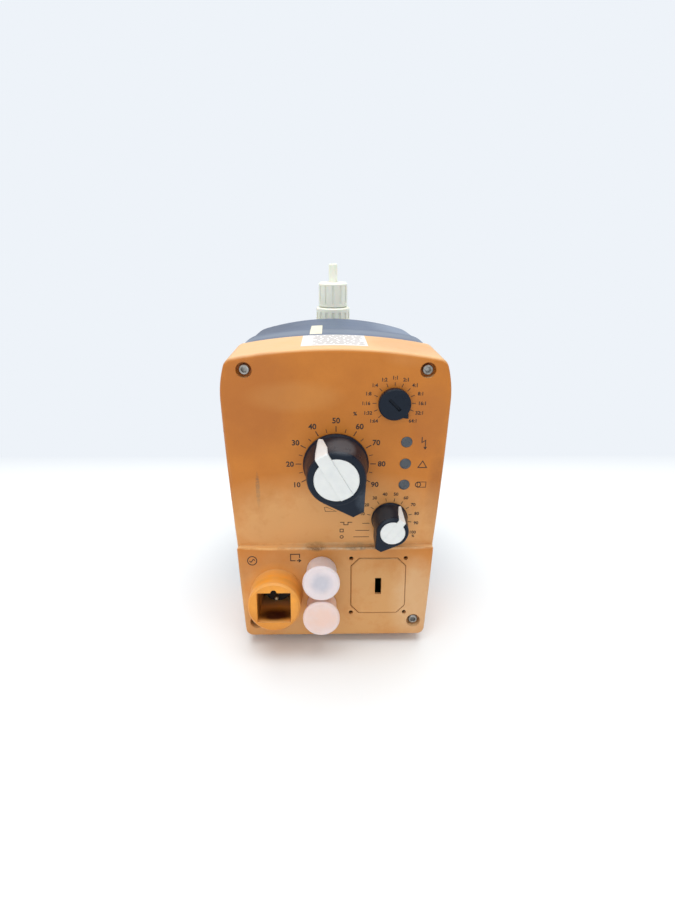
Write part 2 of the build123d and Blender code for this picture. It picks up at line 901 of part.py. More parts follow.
def lamp(step):
    """A lamp window with its light guide."""
    lens = turned(
        (0, -board_depth + lamp_chip),
        (lamp_guide_radius, -board_depth + lamp_chip),
        (lamp_guide_radius, -hood_wall),
        (lamp_radius, -hood_wall),
        (lamp_radius, lamp_proud * 0.3),
        (lamp_radius * 0.72, lamp_proud),
        (0, lamp_proud),
    )
    return placed(panel, lens, lamp_x, step * lamp_pitch)


def control_board():
    """The printed board behind the panel."""
    height = board_rise + board_drop
    board = bar(2 * board_half_width, height, board_depth, board_depth + board_thickness)
    board -= rod(spindle_radius + 1.5, board_depth - 1, board_depth + board_thickness + 1)
    for side, end in signs():
        hole = rod(board_screw_radius + seat_gap, board_depth - 1, board_depth + board_thickness + 1)
        board -= Pos(side * board_post_x, end * board_post_rise, 0) * hole
    return inward.location * board


def board_screws():
    """Screws that hold the control board to the hood's posts."""
    back = board_depth + board_thickness
    screw = rod(board_screw_radius, board_depth - board_screw_length, back)
    screw += rod(board_screw_radius + 1.0, back, back + 1.6)
    screws = [
        Pos(side * board_post_x, end * board_post_rise, 0) * screw for side, end in signs()
    ]
    return inward.location * Compound(screws)


def board_parts():
    """Lamp chips, controller, capacitors and header on the control board."""
    back = board_depth + board_thickness
    parts = [
        bar(3.2, 3.2, board_depth - lamp_chip, board_depth, x=lamp_x, y=step * lamp_pitch)
        for step in (-1, 0, 1)
    ]
    parts.append(bar(12, 12, back, back + 1.8, x=-18, y=-16))
    parts.append(bar(7, 5, back, back + 1.6, x=-18, y=4))
    parts.append(bar(30, 6, back, back + 8, x=-10, y=34))
    for number in range(3):
        parts.append(Pos(-36 + number * 9.5, 20, 0) * rod(4.0, back, back + 10))
    for number in range(4):
        parts.append(bar(3.2, 1.6, back, back + 1.0, x=14 + number * 6, y=-36))
    return inward.location * Compound(parts)


def power_board():
    """The supply board in the lower part of the hood."""
    drop = power_board_top + power_board_height / 2
    back = power_board_depth + board_thickness
    board = bar(2 * power_board_half_width, power_board_height, power_board_depth, back, y=drop)
    return inward.location * board


def power_parts():
    """Transformer, capacitors and relay on the supply board."""
    back = power_board_depth + board_thickness
    drop = power_board_top + power_board_height / 2
    parts = [
        bar(26, 24, back, back + 16, x=-18, y=drop + 2),
        bar(20, 10, back, back + 11, x=20, y=drop + 12),
    ]
    for number in range(2):
        parts.append(Pos(12 + 14 * number, drop - 8, 0) * rod(6.0, back, back + 15))
    return inward.location * Compound(parts)


# ---- drive -------------------------------------------------------------------------


def stroke_spindle():
    """The spindle that limits the armature's return."""
    tip = armature_front - spindle_tip_gap
    spindle = turned(
        (0, -spindle_front),
        (spindle_radius - 0.5, -spindle_front),
        (spindle_radius, -spindle_front + 0.5),
        (spindle_radius, tip - 1.0),
        (spindle_radius - 1.0, tip),
        (0, tip),
    )
    return inward.location * spindle


def spindle_bush():
    """The threaded bush that carries the spindle."""
    start = solenoid_front + front_cover_thickness - spindle_bush_length
    bush = tube(
        spindle_bush_radius,
        spindle_radius + running_gap,
        start,
        solenoid_front + front_cover_thickness,
    )
    collar = tube(
        spindle_bush_radius + 2.5, spindle_bush_radius - 0.5, solenoid_front - 2, solenoid_front
    )
    return inward.location * (bush + collar)


def solenoid_shell():
    """The iron pot with its thick rear floor."""
    floor = solenoid_rear - shell_floor
    shell = turned(
        (shell_radius, solenoid_front),
        (shell_radius, solenoid_rear),
        (pole_radius, solenoid_rear),
        (pole_radius, floor),
        (shell_radius - shell_wall, floor),
        (shell_radius - shell_wall, solenoid_front),
    )
    for x, y in head_screw_places():
        hole = rod(head_screw_radius + seat_gap, solenoid_rear - head_screw_grip - 1, solenoid_rear + 1)
        shell -= Pos(x, y, 0) * hole
    return inward.location * shell


def solenoid_cover():
    """The front cover of the pot, bored for the spindle's bush."""
    cover = tube(
        shell_radius - shell_wall,
        spindle_bush_radius,
        solenoid_front,
        solenoid_front + front_cover_thickness,
    )
    return inward.location * cover


def coil_bobbin():
    """The bobbin that carries the winding."""
    front = solenoid_front + front_cover_thickness
    rear = solenoid_rear - shell_floor
    reach = shell_radius - shell_wall - 0.3
    bobbin = turned(
        (bobbin_radius - bobbin_wall, front),
        (reach, front),
        (reach, front + bobbin_flange),
        (bobbin_radius, front + bobbin_flange),
        (bobbin_radius, rear - bobbin_flange),
        (reach, rear - bobbin_flange),
        (reach, rear),
        (bobbin_radius - bobbin_wall, rear),
    )
    return inward.location * bobbin


def coil_winding():
    """The copper winding on the bobbin."""
    front = solenoid_front + front_cover_thickness + bobbin_flange
    rear = solenoid_rear - shell_floor - bobbin_flange
    winding = tube(shell_radius - shell_wall - 1.5, bobbin_radius, front, rear)
    return inward.location * winding


def pole_piece():
    """The fixed pole with its spring pocket and bush bore."""
    front = solenoid_rear - pole_length
    pole = turned(
        (spring_pocket, front),
        (pole_radius, front),
        (pole_radius, solenoid_rear),
        (bush_radius, solenoid_rear),
        (bush_radius, spring_end()),
        (spring_pocket, spring_end()),
    )
    return inward.location * pole


def spring_end():
    """Depth of the spring's rear seat in the pole."""
    return armature_rear - spring_seat_depth + spring_length


def guide_bushes():
    """Two plain bushes that carry the pressure rod in the pole."""
    front = spring_end()
    bushes = [
        tube(bush_radius, rod_radius + running_gap, front, front + bush_length),
        tube(bush_radius, rod_radius + running_gap, solenoid_rear - bush_length, solenoid_rear),
    ]
    return inward.location * Compound(bushes)


def armature():
    """The moving iron with its recess for the spring."""
    iron = turned(
        (0, armature_front),
        (armature_radius - 0.8, armature_front),
        (armature_radius, armature_front + 0.8),
        (armature_radius, armature_rear),
        (spring_pocket, armature_rear),
        (spring_pocket, armature_rear - spring_seat_depth),
        (rod_radius, armature_rear - spring_seat_depth),
        (rod_radius, armature_front + rod_seat),
        (0, armature_front + rod_seat),
    )
    return inward.location * iron


def pressure_rod():
    """The rod from the armature to the diaphragm."""
    shoulder = disc_end - core_length - 0.1
    rod_shape = turned(
        (0, armature_front + rod_seat),
        (rod_radius, armature_front + rod_seat),
        (rod_radius, shoulder),
        (rod_tip_radius, shoulder),
        (rod_tip_radius, shoulder + rod_tip_length),
        (0, shoulder + rod_tip_length),
    )
    return inward.location * rod_shape


def return_spring():
    """The coil spring that returns the armature."""
    start = armature_rear - spring_seat_depth + spring_wire
    height = spring_length - 2 * spring_wire
    path = Helix(height / spring_turns, height, spring_radius)
    profile = Plane(path.position_at(0), z_dir=path.tangent_at(0)) * Circle(spring_wire)
    wire = sweep(profile, path=path, is_frenet=True)
    return inward.location * Pos(0, 0, start) * wire


# ---- liquid end --------------------------------------------------------------------


def head_screw_places():
    """Places of the four head screws in the stroke frame."""
    half = head_screw_spacing / 2
    return [(side * half, end * half) for side, end in signs()]


def head_plate(start, end):
    """A rounded square plate of the liquid end."""
    plate = Rectangle(head_side, head_side)
    plate = fillet(plate.vertices(), head_corner_radius)
    return extrude(Plane.XY.offset(start) * plate, end - start)


def head_disc():
    """The plate between the housing and the dosing head."""
    disc = head_plate(drum_end, disc_end)
    disc += rod(spigot_radius, drum_end - spigot_length, drum_end)
    disc -= turned(
        (0, drum_end - spigot_length - 1),
        (core_bore, drum_end - spigot_length - 1),
        (core_bore, disc_end - dish_depth),
        (chamber_radius, disc_end),
        (chamber_radius, disc_end + 1),
        (0, disc_end + 1),
    )
    leak = Pos(0, 0, drum_end + disc_thickness / 2) * Rot(-90, 0, 0) * rod(
        leak_hole_radius, core_bore - 1, head_side
    )
    disc -= leak
    for x, y in head_screw_places():
        disc -= Pos(x, y, 0) * rod(head_screw_radius + 0.2, drum_end - 1, disc_end + 1)
    return inward.location * disc


def diaphragm():
    """The moulded diaphragm with its core."""
    shape = turned(
        (0, disc_end - core_length + rod_tip_length),
        (rod_tip_radius + seat_gap, disc_end - core_length + rod_tip_length),
        (rod_tip_radius + seat_gap, disc_end - core_length),
        (core_radius, disc_end - core_length),
        (core_radius, disc_end + 0.3),
        (diaphragm_radius, disc_end),
        (diaphragm_radius, disc_end + diaphragm_thickness),
        (0, disc_end + diaphragm_thickness),
    )
    return inward.location * shape


def dosing_head():
    """The head with its chamber, passages and valve sockets."""
    head = head_plate(disc_end, head_end)
    rear_edges = head.faces().sort_by(Axis.Z)[-1].edges()
    head = fillet(rear_edges, head_rounding)
    head = inward.location * head
    for way in (1, -1):
        boss = rod(socket_boss_radius, head_side / 4, socket_boss_top)
        head += valve_frame.location * mirrored(boss, way)
    floor = disc_end + diaphragm_thickness
    head -= inward.location * turned(
        (0, disc_end - 1),
        (diaphragm_radius + seat_gap, disc_end - 1),
        (diaphragm_radius + seat_gap, floor),
        (chamber_radius, floor),
        (chamber_radius * 0.6, floor + chamber_depth),
        (0, floor + chamber_depth),
    )
    for way in (1, -1):
        socket = rod(plug_radius + seat_gap, plug_start - 2 * o_ring_wire, socket_boss_top + 1)
        socket += rod(passage_radius, passage_level, plug_start)
        head -= valve_frame.location * mirrored(socket, way)
        port = rod(passage_radius, floor, valve_axis + passage_radius)
        head -= inward.location * Pos(0, -way * passage_level, 0) * port
    for x, y in head_screw_places():
        head -= inward.location * Pos(x, y, 0) * rod(head_screw_radius + 0.2, disc_end - 1, head_end + 1)
        head -= inward.location * Pos(x, y, 0) * rod(
            head_screw_head_radius + 0.5, screw_head_floor(), head_end + 1
        )
    bleed = rod(bleed_spindle_radius + running_gap, bleed_floor(), head_end + 1)
    bleed += rod(bleed_nozzle_bore, valve_axis, head_end)
    head -= inward.location * Pos(0, -bleed_rise, 0) * bleed
    cross = rod(bleed_nozzle_bore, 0, head_side)
    cross += rod(bleed_nozzle_radius + seat_gap, head_side / 2 - bleed_nozzle_seat, head_side)
    head -= bleed_side * cross
    return head


def screw_head_floor():
    """Depth of the seat under the head screws' washers."""
    return head_end - head_screw_head - washer_thickness - 0.5


def bleed_floor():
    """Depth at which the bleed spindle closes its passage."""
    return valve_axis + passage_radius + 1.5


def mirrored(shape, way):
    """The shape as it stands for the discharge side, or turned over for suction."""
    if way > 0:
        return shape
    return mirror(shape, Plane.XY)


def head_screws():
    """Four socket screws through the liquid end."""
    floor = screw_head_floor() + washer_thickness
    screws = []
    for x, y in head_screw_places():
        head = rod(head_screw_head_radius, floor, floor + head_screw_head)
        head = chamfer(head.edges().sort_by(Axis.Z)[-1], 0.5)
        shank = rod(head_screw_radius, solenoid_rear - head_screw_grip, floor)
        socket = extrude(
            Plane.XY.offset(floor + head_screw_head - 2.5) * RegularPolygon(2.3, 6), 3
        )
        screws.append(Pos(x, y, 0) * (head + shank - socket))
    return inward.location * Compound(screws)


def head_washers():
    """Plain washers under the head screws."""
    floor = screw_head_floor()
    washers = [
        Pos(x, y, 0)
        * tube(
            head_screw_head_radius + 0.3,
            head_screw_radius + 0.1,
            floor,
            floor + washer_thickness,
        )
        for x, y in head_screw_places()
    ]
    return inward.location * Compound(washers)


def ball_chamber(base):
    """The space for a seat and a ball, open at its lower end, base."""
    ball_start = base + seat_height
    stop = ball_start + ball_rest() + ball_radius + ball_lift + 0.1
    space = rod(seat_radius, base - 1, ball_start)
    space += rod(ball_bore, ball_start, stop)
    for turn in (0, 90):
        slot = bar(seat_bore, 2 * ball_bore - 0.4, stop - 0.5, stop + ball_radius)
        space += Rot(0, 0, turn) * slot
    return space


def ball_rest():
    """Height of the ball's centre above the top of its seat."""
    contact_radius_on_seat = ball_radius * math.sqrt(0.5)
    contact_height = contact_radius_on_seat - seat_bore - seat_chamfer
    return contact_height + ball_radius * math.sqrt(0.5) + 0.03


def chamber_base(way):
    """Lower end of the ball's chamber in the valve frame."""
    if way > 0:
        return plug_start
    return -nipple_end


def valve_body(way):
    """A ribbed valve body: plug, collar and threaded nipple."""
    body = turned(
        (0, plug_start),
        (plug_radius - 0.6, plug_start),
        (plug_radius, plug_start + 0.6),
        (plug_radius, socket_boss_top),
        (collar_radius - 0.8, socket_boss_top),
        (collar_radius, socket_boss_top + 0.8),
        (collar_radius, collar_end - 0.8),
        (collar_radius - 0.8, collar_end),
        (nipple_radius, collar_end),
        (nipple_radius, nipple_end - 0.5),
        (nipple_radius - 0.5, nipple_end),
        (0, nipple_end),
    )
    groove = bar(1.6, 2 * rib_depth, socket_boss_top + 3, collar_end - 3, y=collar_radius)
    for number in range(collar_ribs):
        body -= Rot(0, 0, number * 360 / collar_ribs) * groove
    body = mirrored(body, way)
    body -= ball_chamber(chamber_base(way))
    low = min(way * plug_start, way * nipple_end)
    body -= rod(seat_bore, low - 1, low + nipple_end - plug_start + 1)
    return valve_frame.location * body


def valve_seat(way):
    """The seat ring that the ball closes."""
    base = chamber_base(way)
    seat = turned(
        (seat_bore, base),
        (seat_radius, base),
        (seat_radius, base + seat_height),
        (seat_bore + seat_chamfer, base + seat_height),
        (seat_bore, base + seat_height - seat_chamfer),
    )
    return valve_frame.location * seat


def valve_ball(way):
    """The ball at rest on its seat."""
    level = chamber_base(way) + seat_height + ball_rest()
    return valve_frame.location * Pos(0, 0, level) * Sphere(ball_radius)


def valve_seals(way):
    """The O-rings at both ends of a valve body."""
    rings = [
        ring(plug_radius - 1.6, o_ring_wire, plug_start - o_ring_wire),
        ring(seat_radius + 0.95, o_ring_wire, nipple_end + o_ring_wire),
    ]
    return valve_frame.location * mirrored(Compound(rings), way)


def union_nut(way):
    """The nut that clamps the hose nozzle on the valve body."""
    flange_top = nipple_end + 2 * o_ring_wire + nozzle_flange
    nut = turned(
        (nipple_radius + seat_gap, nut_start),
        (nut_radius - 0.4, nut_start),
        (nut_radius, nut_start + 0.4),
        (nut_radius, nut_end - 1.0),
        (nut_radius - 1.0, nut_end),
        (nozzle_neck_radius + 0.2, nut_end),
        (nozzle_neck_radius + 0.2, flange_top),
        (nipple_radius + seat_gap, flange_top),
    )
    groove = bar(1.2, 2 * nut_groove_depth, nut_start + 2, nut_end - 2, y=nut_radius)
    for number in range(nut_grooves):
        nut -= Rot(0, 0, number * 360 / nut_grooves) * groove
    return valve_frame.location * mirrored(nut, way)


def hose_nozzle(way):
    """The flanged nozzle that a hose is pushed on to."""
    flange_start = nipple_end + 2 * o_ring_wire
    flange_top = flange_start + nozzle_flange
    neck_end = nut_end + nozzle_neck_proud
    nozzle = turned(
        (nozzle_bore, flange_start),
        (nozzle_flange_radius, flange_start),
        (nozzle_flange_radius, flange_top),
        (nozzle_neck_radius, flange_top),
        (nozzle_neck_radius, neck_end),
        (nozzle_radius, neck_end),
        (nozzle_radius, nozzle_end - nozzle_chamfer),
        (nozzle_radius - nozzle_chamfer, nozzle_end),
        (nozzle_bore, nozzle_end),
    )
    return valve_frame.location * mirrored(nozzle, way)


# ---- bleed valve -------------------------------------------------------------------


def bleed_spindle():
    """The spindle that closes the bleed passage."""
    end = head_end + bleed_knob_gap + bleed_knob_height - 2
    spindle = turned(
        (0, bleed_floor() + running_gap),
        (bleed_spindle_radius - 1, bleed_floor() + running_gap),
        (bleed_spindle_radius, bleed_floor() + 1),
        (bleed_spindle_radius, end),
        (0, end),
    )
    return inward.location * Pos(0, -bleed_rise, 0) * spindle


def bleed_knob():
    """The lobed knob on the bleed spindle."""
    start = head_end + bleed_knob_gap
    knob = rod(bleed_knob_radius, start, start + bleed_knob_height)
    knob = chamfer(knob.edges().sort_by(Axis.Z)[-1], 1.0)
    for number in range(bleed_lobes):
        scallop = Pos(bleed_knob_radius * 1.32, 0, 0) * rod(
            bleed_knob_radius * 0.55, start - 1, start + bleed_knob_height + 1
        )
        knob -= Rot(0, 0, 45 + number * 360 / bleed_lobes) * scallop
    knob -= rod(bleed_spindle_radius, start - 1, start + bleed_knob_height - 2)
    return inward.location * Pos(0, -bleed_rise, 0) * knob


def bleed_nozzle():
    """The small nozzle that the bleed hose is pushed on to."""
    start = head_side / 2 - bleed_nozzle_seat
    nozzle = turned(
        (bleed_nozzle_bore, start),
        (bleed_nozzle_radius, start),
        (bleed_nozzle_radius, head_side / 2),
        (bleed_nozzle_radius + 1.4, head_side / 2),
        (bleed_nozzle_radius + 1.4, head_side / 2 + 2.5),
        (bleed_nozzle_radius, head_side / 2 + 2.5),
        (bleed_nozzle_radius, head_side / 2 + bleed_nozzle_reach - 1),
        (bleed_nozzle_radius - 0.5, head_side / 2 + bleed_nozzle_reach),
        (bleed_nozzle_bore, head_side / 2 + bleed_nozzle_reach),
    )
    return bleed_side * nozzle


# ---- the assembly ------------------------------------------------------------------

nodes = {
    "front_hood": front_hood(),
    "rear_housing": rear_housing(),
    "housing_gasket": gasket_ring(),
    "hood_screws": hood_screws(),
    "knock_out_cover": knock_out_cover(),
    "mains_insert": mains_insert(),
    "mains_pins": mains_pins(),
    "control_socket": signal_socket(0),
    "level_socket": signal_socket(1),
    "socket_contacts": socket_contacts(),
    "control_socket_cap": socket_cap(0),
    "level_socket_cap": socket_cap(1),
    "run_lamp": lamp(-1),
    "warning_lamp": lamp(0),
    "fault_lamp": lamp(1),
    "stroke_knob": stroke_knob(),
    "stroke_knob_cap": stroke_knob_cap(),
    "function_knob": function_knob(),
    "function_knob_cap": function_knob_cap(),
    "function_shaft": function_shaft(),
    "pulse_selector": pulse_selector(),
    "pulse_switch": rotary_switch(pulse_x, pulse_rise),
    "function_switch": rotary_switch(function_x, -function_drop),
    "control_board": control_board(),
    "board_screws": board_screws(),
    "board_parts": board_parts(),
    "power_board": power_board(),
    "power_parts": power_parts(),
    "stroke_spindle": stroke_spindle(),
    "spindle_bush": spindle_bush(),
    "solenoid_shell": solenoid_shell(),
    "solenoid_cover": solenoid_cover(),
    "coil_bobbin": coil_bobbin(),
    "coil_winding": coil_winding(),
    "pole_piece": pole_piece(),
    "guide_bushes": guide_bushes(),
    "armature": armature(),
    "pressure_rod": pressure_rod(),
    "return_spring": return_spring(),
    "head_disc": head_disc(),
    "diaphragm": diaphragm(),
    "dosing_head": dosing_head(),
    "head_screws": head_screws(),
    "head_washers": head_washers(),
    "bleed_spindle": bleed_spindle(),
    "bleed_knob": bleed_knob(),
    "bleed_nozzle": bleed_nozzle(),
}
for name, way in (("discharge", 1), ("suction", -1)):
    nodes[name + "_valve_body"] = valve_body(way)
    nodes[name + "_valve_seat"] = valve_seat(way)
    nodes[name + "_valve_ball"] = valve_ball(way)
    nodes[name + "_valve_seals"] = valve_seals(way)
    nodes[name + "_union_nut"] = union_nut(way)
    nodes[name + "_hose_nozzle"] = hose_nozzle(way)

os.makedirs("parts", exist_ok=True)
for name, shape in nodes.items():
    export_step(shape, "parts/" + name + ".step")
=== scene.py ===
"""Looks of a solenoid-driven diaphragm metering pump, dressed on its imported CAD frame.

The pump stands on Z = 0 and faces -Y. Names that end in _mm are millimetres in the
frame's axes, and a depth is counted along +Y from the panel; Blender is given metres.
"""

import functools
import json
import logging
import math
from dataclasses import dataclass
from enum import Enum
from typing import ClassVar, Sequence

import bmesh
import bpy
import numpy as np
from mathutils import Matrix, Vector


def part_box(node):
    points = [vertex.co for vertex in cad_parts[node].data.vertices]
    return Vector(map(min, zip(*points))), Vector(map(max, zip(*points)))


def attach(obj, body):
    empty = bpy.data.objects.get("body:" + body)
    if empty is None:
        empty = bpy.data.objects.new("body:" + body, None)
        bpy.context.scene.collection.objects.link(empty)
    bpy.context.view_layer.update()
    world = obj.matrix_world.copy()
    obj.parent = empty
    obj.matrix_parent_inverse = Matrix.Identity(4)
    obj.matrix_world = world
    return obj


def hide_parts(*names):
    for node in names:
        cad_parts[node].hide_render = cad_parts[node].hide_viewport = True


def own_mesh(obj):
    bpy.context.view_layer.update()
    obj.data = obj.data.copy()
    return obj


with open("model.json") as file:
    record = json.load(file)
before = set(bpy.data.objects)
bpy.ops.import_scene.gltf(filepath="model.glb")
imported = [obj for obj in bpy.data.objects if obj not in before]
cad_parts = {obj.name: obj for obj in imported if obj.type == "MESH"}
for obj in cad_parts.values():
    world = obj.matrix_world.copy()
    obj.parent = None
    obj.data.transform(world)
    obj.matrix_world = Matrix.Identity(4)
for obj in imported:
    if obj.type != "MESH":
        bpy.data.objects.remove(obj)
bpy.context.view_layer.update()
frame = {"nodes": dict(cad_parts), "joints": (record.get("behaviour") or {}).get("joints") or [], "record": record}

MM = 0.001
LOG = logging.getLogger("metering_pump")

Mesh = tuple[np.ndarray, list[tuple[int, ...]]]
Point = tuple[float, float]
Place = tuple[float, float, float]
Tree = bpy.types.NodeTree
Socket = bpy.types.NodeSocket

# Sockets of ShaderNodeMix when it mixes colours: share, colour under, colour over, result.
SHARE, UNDER, OVER, MIXED = 0, 6, 7, 2


class Slot(Enum):
    """Material slots of the record, named for kinds of new pieces."""

    LABEL = "white_plastic"
    PRINT = "knob_plastic"
    SPRING = "screw_steel"
    DIAPHRAGM = "diaphragm_rubber"


# ---- places taken from the frame ----------------------------------------------------


JOINTS = {joint["name"]: joint for joint in frame["joints"]}
MOUNTS = {mount["name"]: mount for mount in frame["record"]["mounts"]}


@functools.cache
def box_mm(node: str) -> tuple[np.ndarray, np.ndarray]:
    """Lowest and highest corner of a CAD node, in millimetres."""
    low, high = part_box(node)
    return np.array(low) / MM, np.array(high) / MM


def pivot_mm(joint: str) -> np.ndarray:
    """Place of a CAD joint, in millimetres."""
    return np.array(JOINTS[joint]["pos_m"]) / MM


PANEL_MM = pivot_mm("stroke_adjust")
PANEL_Y_MM = float(PANEL_MM[1])
AXIS_HEIGHT_MM = float(PANEL_MM[2])


def on_panel(joint: str) -> Point:
    """A joint's place on the panel, right of and above the stroke dial's middle."""
    right, _, up = pivot_mm(joint) - PANEL_MM
    return float(right), float(up)


def lamp_level(node: str) -> float:
    """How far the middle of a lamp lies above the stroke dial's middle."""
    low, high = box_mm(node)
    return float(low[2] + high[2]) / 2 - AXIS_HEIGHT_MM


# ---- node and mesh helpers ----------------------------------------------------------


def linear(colour: str) -> tuple[float, float, float, float]:
    """Turns an sRGB hex colour into linear light.

    Args:
        colour: six hex digits.

    Returns:
        Linear red, green and blue, and an alpha of 1.
    """
    parts = np.array([int(colour[i:i + 2], 16) for i in (0, 2, 4)]) / 255.0
    low = parts / 12.92
    high = ((parts + 0.055) / 1.055) ** 2.4
    red, green, blue = np.where(parts <= 0.04045, low, high)
    return float(red), float(green), float(blue), 1.0


def add(
    tree: Tree,
    kind: str,
    settings: dict | None = None,
    links: dict | None = None,
) -> bpy.types.Node:
    """Adds a node with its settings and links.

    Args:
        tree: node tree that gets the node.
        kind: class name of the node.
        settings: values by property name, or by an input's name or number.
        links: outputs that feed the node, by an input's name or number.

    Returns:
        The new node.
    """
    node = tree.nodes.new(kind)
    for key, value in (settings or {}).items():
        if isinstance(key, int) or key in node.inputs:
            node.inputs[key].default_value = value
        else:
            setattr(node, key, value)
    for key, output in (links or {}).items():
        tree.links.new(output, node.inputs[key])
    return node


def per_metre(size_mm: float) -> float:
    """Scale of a pattern whose features are size_mm apart, in Object coordinates."""
    return 1.0 / (size_mm * MM)


def linked(name: str, data: bpy.types.ID) -> bpy.types.Object:
    """Makes an object of a mesh, lamp or camera and links it to the scene."""
    made = bpy.data.objects.new(name, data)
    bpy.context.scene.collection.objects.link(made)
    return made


def closed_sheet(top: np.ndarray, under: np.ndarray) -> Mesh:
    """A closed slab between two grids of points.

    The faces over the top grid run counter-clockwise in (first, second) index order, the
    ones under it the other way, and a rim joins the two outlines.

    Args:
        top: grid of points, of shape (n, m, 3).
        under: grid of the same shape, behind it.

    Returns:
        Vertices and faces.
    """
    n, m = top.shape[:2]
    index = np.arange(n * m).reshape(n, m)
    corners = [index[:-1, :-1], index[1:, :-1], index[1:, 1:], index[:-1, 1:]]
    quads = np.stack(corners, axis=-1).reshape(-1, 4)
    edge = np.concatenate([index[:-1, 0], index[-1, :-1], index[:0:-1, -1], index[0, :0:-1]])
    ahead = np.roll(edge, -1)
    below = n * m
    rim = np.stack([edge, edge + below, ahead + below, ahead], axis=-1)
    faces = np.concatenate([quads, quads[:, ::-1] + below, rim])
    points = np.concatenate([top.reshape(-1, 3), under.reshape(-1, 3)])
    return points, [tuple(face) for face in faces.tolist()]


def line(points: Sequence[Point], width: float, closed: bool = False) -> Mesh:
    """A flat printed line as a closed strip of ink, one unit thick along Z.

    Each point is moved to both sides by half the width, along the bisector of its two
    runs lengthened by one over the cosine of half their turn; the four corners of the
    section there form one row of a grid.

    Args:
        points: centre line.
        width: width of the line.
        closed: joins the last point to the first.

    Returns:
        Vertices, with Z 0 or 1, and faces.
    """
    path = np.array(points, float)
    ahead = np.roll(path, -1, axis=0) - path
    behind = path - np.roll(path, 1, axis=0)
    if not closed:
        ahead[-1] = behind[-1]
        behind[0] = ahead[0]
    ahead /= np.linalg.norm(ahead, axis=1, keepdims=True)
    behind /= np.linalg.norm(behind, axis=1, keepdims=True)
    middle = ahead + behind
    middle /= np.linalg.norm(middle, axis=1, keepdims=True)
    stretch = np.clip(1.0 / np.sum(middle * ahead, axis=1, keepdims=True), 1.0, 2.0)
    side = np.stack([-middle[:, 1], middle[:, 0]], axis=1) * stretch * width / 2
    left, right = path + side, path - side
    flat = np.stack([left, right, right, left], axis=1)
    height = np.broadcast_to(np.array([1.0, 1.0, 0.0, 0.0]), flat.shape[:2])[..., None]
    grid = np.concatenate([flat, height], axis=2)
    index = np.arange(grid.shape[0] * 4).reshape(-1, 4)
    rows = np.concatenate([index, index[:1]]) if closed else index
    beside = np.roll(rows, -1, axis=1)
    quads = np.stack([rows[:-1], beside[:-1], beside[1:], rows[1:]], axis=-1).reshape(-1, 4)
    if not closed:
        quads = np.concatenate([quads, index[:1, ::-1], index[-1:]])
    return grid.reshape(-1, 3), [tuple(face) for face in quads.tolist()]


def circle(x: float, y: float, radius: float, count: int) -> tuple[Point, ...]:
    """Points of a circle at equal angles."""
    angle = np.linspace(0, 2 * math.pi, count, endpoint=False)
    return tuple(zip(x + radius * np.cos(angle), y + radius * np.sin(angle)))


def lettering(text: str, x: float, y: float, height: float) -> Mesh:
    """Plain figures as closed ink shapes, centred at a point, one unit thick along Z.

    The font's digits are 0.69 of its size high, and each stroke is made bolder by 0.035
    of the digit's height to both sides.

    Args:
        text: the figures.
        x: centre to the right.
        y: centre upwards.
        height: height of a digit.

    Returns:
        Vertices and faces.
    """
    digit_share, bolder, merged = 0.69, 0.035, 1e-4
    curve = bpy.data.curves.new("figures", "FONT")
    curve.body = text
    curve.align_x = "CENTER"
    curve.size = height / digit_share
    curve.resolution_u = 3
    curve.offset = bolder * height
    curve.extrude = 0.5
    holder = bpy.data.objects.new("figures", curve)
    mesh = bpy.data.meshes.new_from_object(holder)
    shape = bmesh.new()
    shape.from_mesh(mesh)
    bmesh.ops.remove_doubles(shape, verts=shape.verts, dist=merged)
    bmesh.ops.dissolve_degenerate(shape, edges=shape.edges, dist=merged)
    bmesh.ops.triangulate(shape, faces=shape.faces)
    bmesh.ops.recalc_face_normals(shape, faces=shape.faces)
    shape.to_mesh(mesh)
    shape.free()
    points = np.empty(len(mesh.vertices) * 3, np.float32)
    mesh.vertices.foreach_get("co", points)
    corners = np.empty(len(mesh.loops), np.int32)
    mesh.loops.foreach_get("vertex_index", corners)
    bpy.data.objects.remove(holder)
    bpy.data.curves.remove(curve)
    bpy.data.meshes.remove(mesh)
    points = points.reshape(-1, 3) + np.array([x, y - height / 2, 0.5])
    return points, [tuple(face) for face in corners.reshape(-1, 3).tolist()]


def joined(meshes: Sequence[Mesh]) -> Mesh:
    """Several meshes as one, the faces' numbers moved on by the vertices before them."""
    start = 0
    faces: list[tuple[int, ...]] = []
    for points, own in meshes:
        faces += [tuple(i + start for i in face) for face in own]
        start += len(points)
    return np.concatenate([points for points, _ in meshes]), faces


def turned(profile: Sequence[Point], height: float, count: int = 96) -> Mesh:
    """A solid turned about an axis along Y: each profile point goes round as one circle.

    Args:
        profile: radius and Y of each point, both ends on the axis, Y growing.
        height: Z of the axis.
        count: points of a circle.

    Returns:
        Vertices in millimetres and faces.
    """
    radius, level = np.array(profile, float).T
    angle = np.linspace(0, 2 * math.pi, count, endpoint=False)
    x = radius[1:-1, None] * np.cos(angle)
    z = height + radius[1:-1, None] * np.sin(angle)
    y = np.broadcast_to(level[1:-1, None], x.shape)
    ends = np.array([[0.0, level[0], height], [0.0, level[-1], height]])
    index = np.arange(x.size).reshape(x.shape)
    ahead = np.roll(index, -1, axis=1)
    quads = np.stack([index[:-1], index[1:], ahead[1:], ahead[:-1]], axis=-1).reshape(-1, 4)
    near = np.stack([np.full(count, x.size), index[0], ahead[0]], axis=-1)
    back = np.stack([np.full(count, x.size + 1), ahead[-1], index[-1]], axis=-1)
    faces = [tuple(face) for face in quads.tolist() + near.tolist() + back.tolist()]
    return np.concatenate([np.stack([x, y, z], axis=-1).reshape(-1, 3), ends]), faces


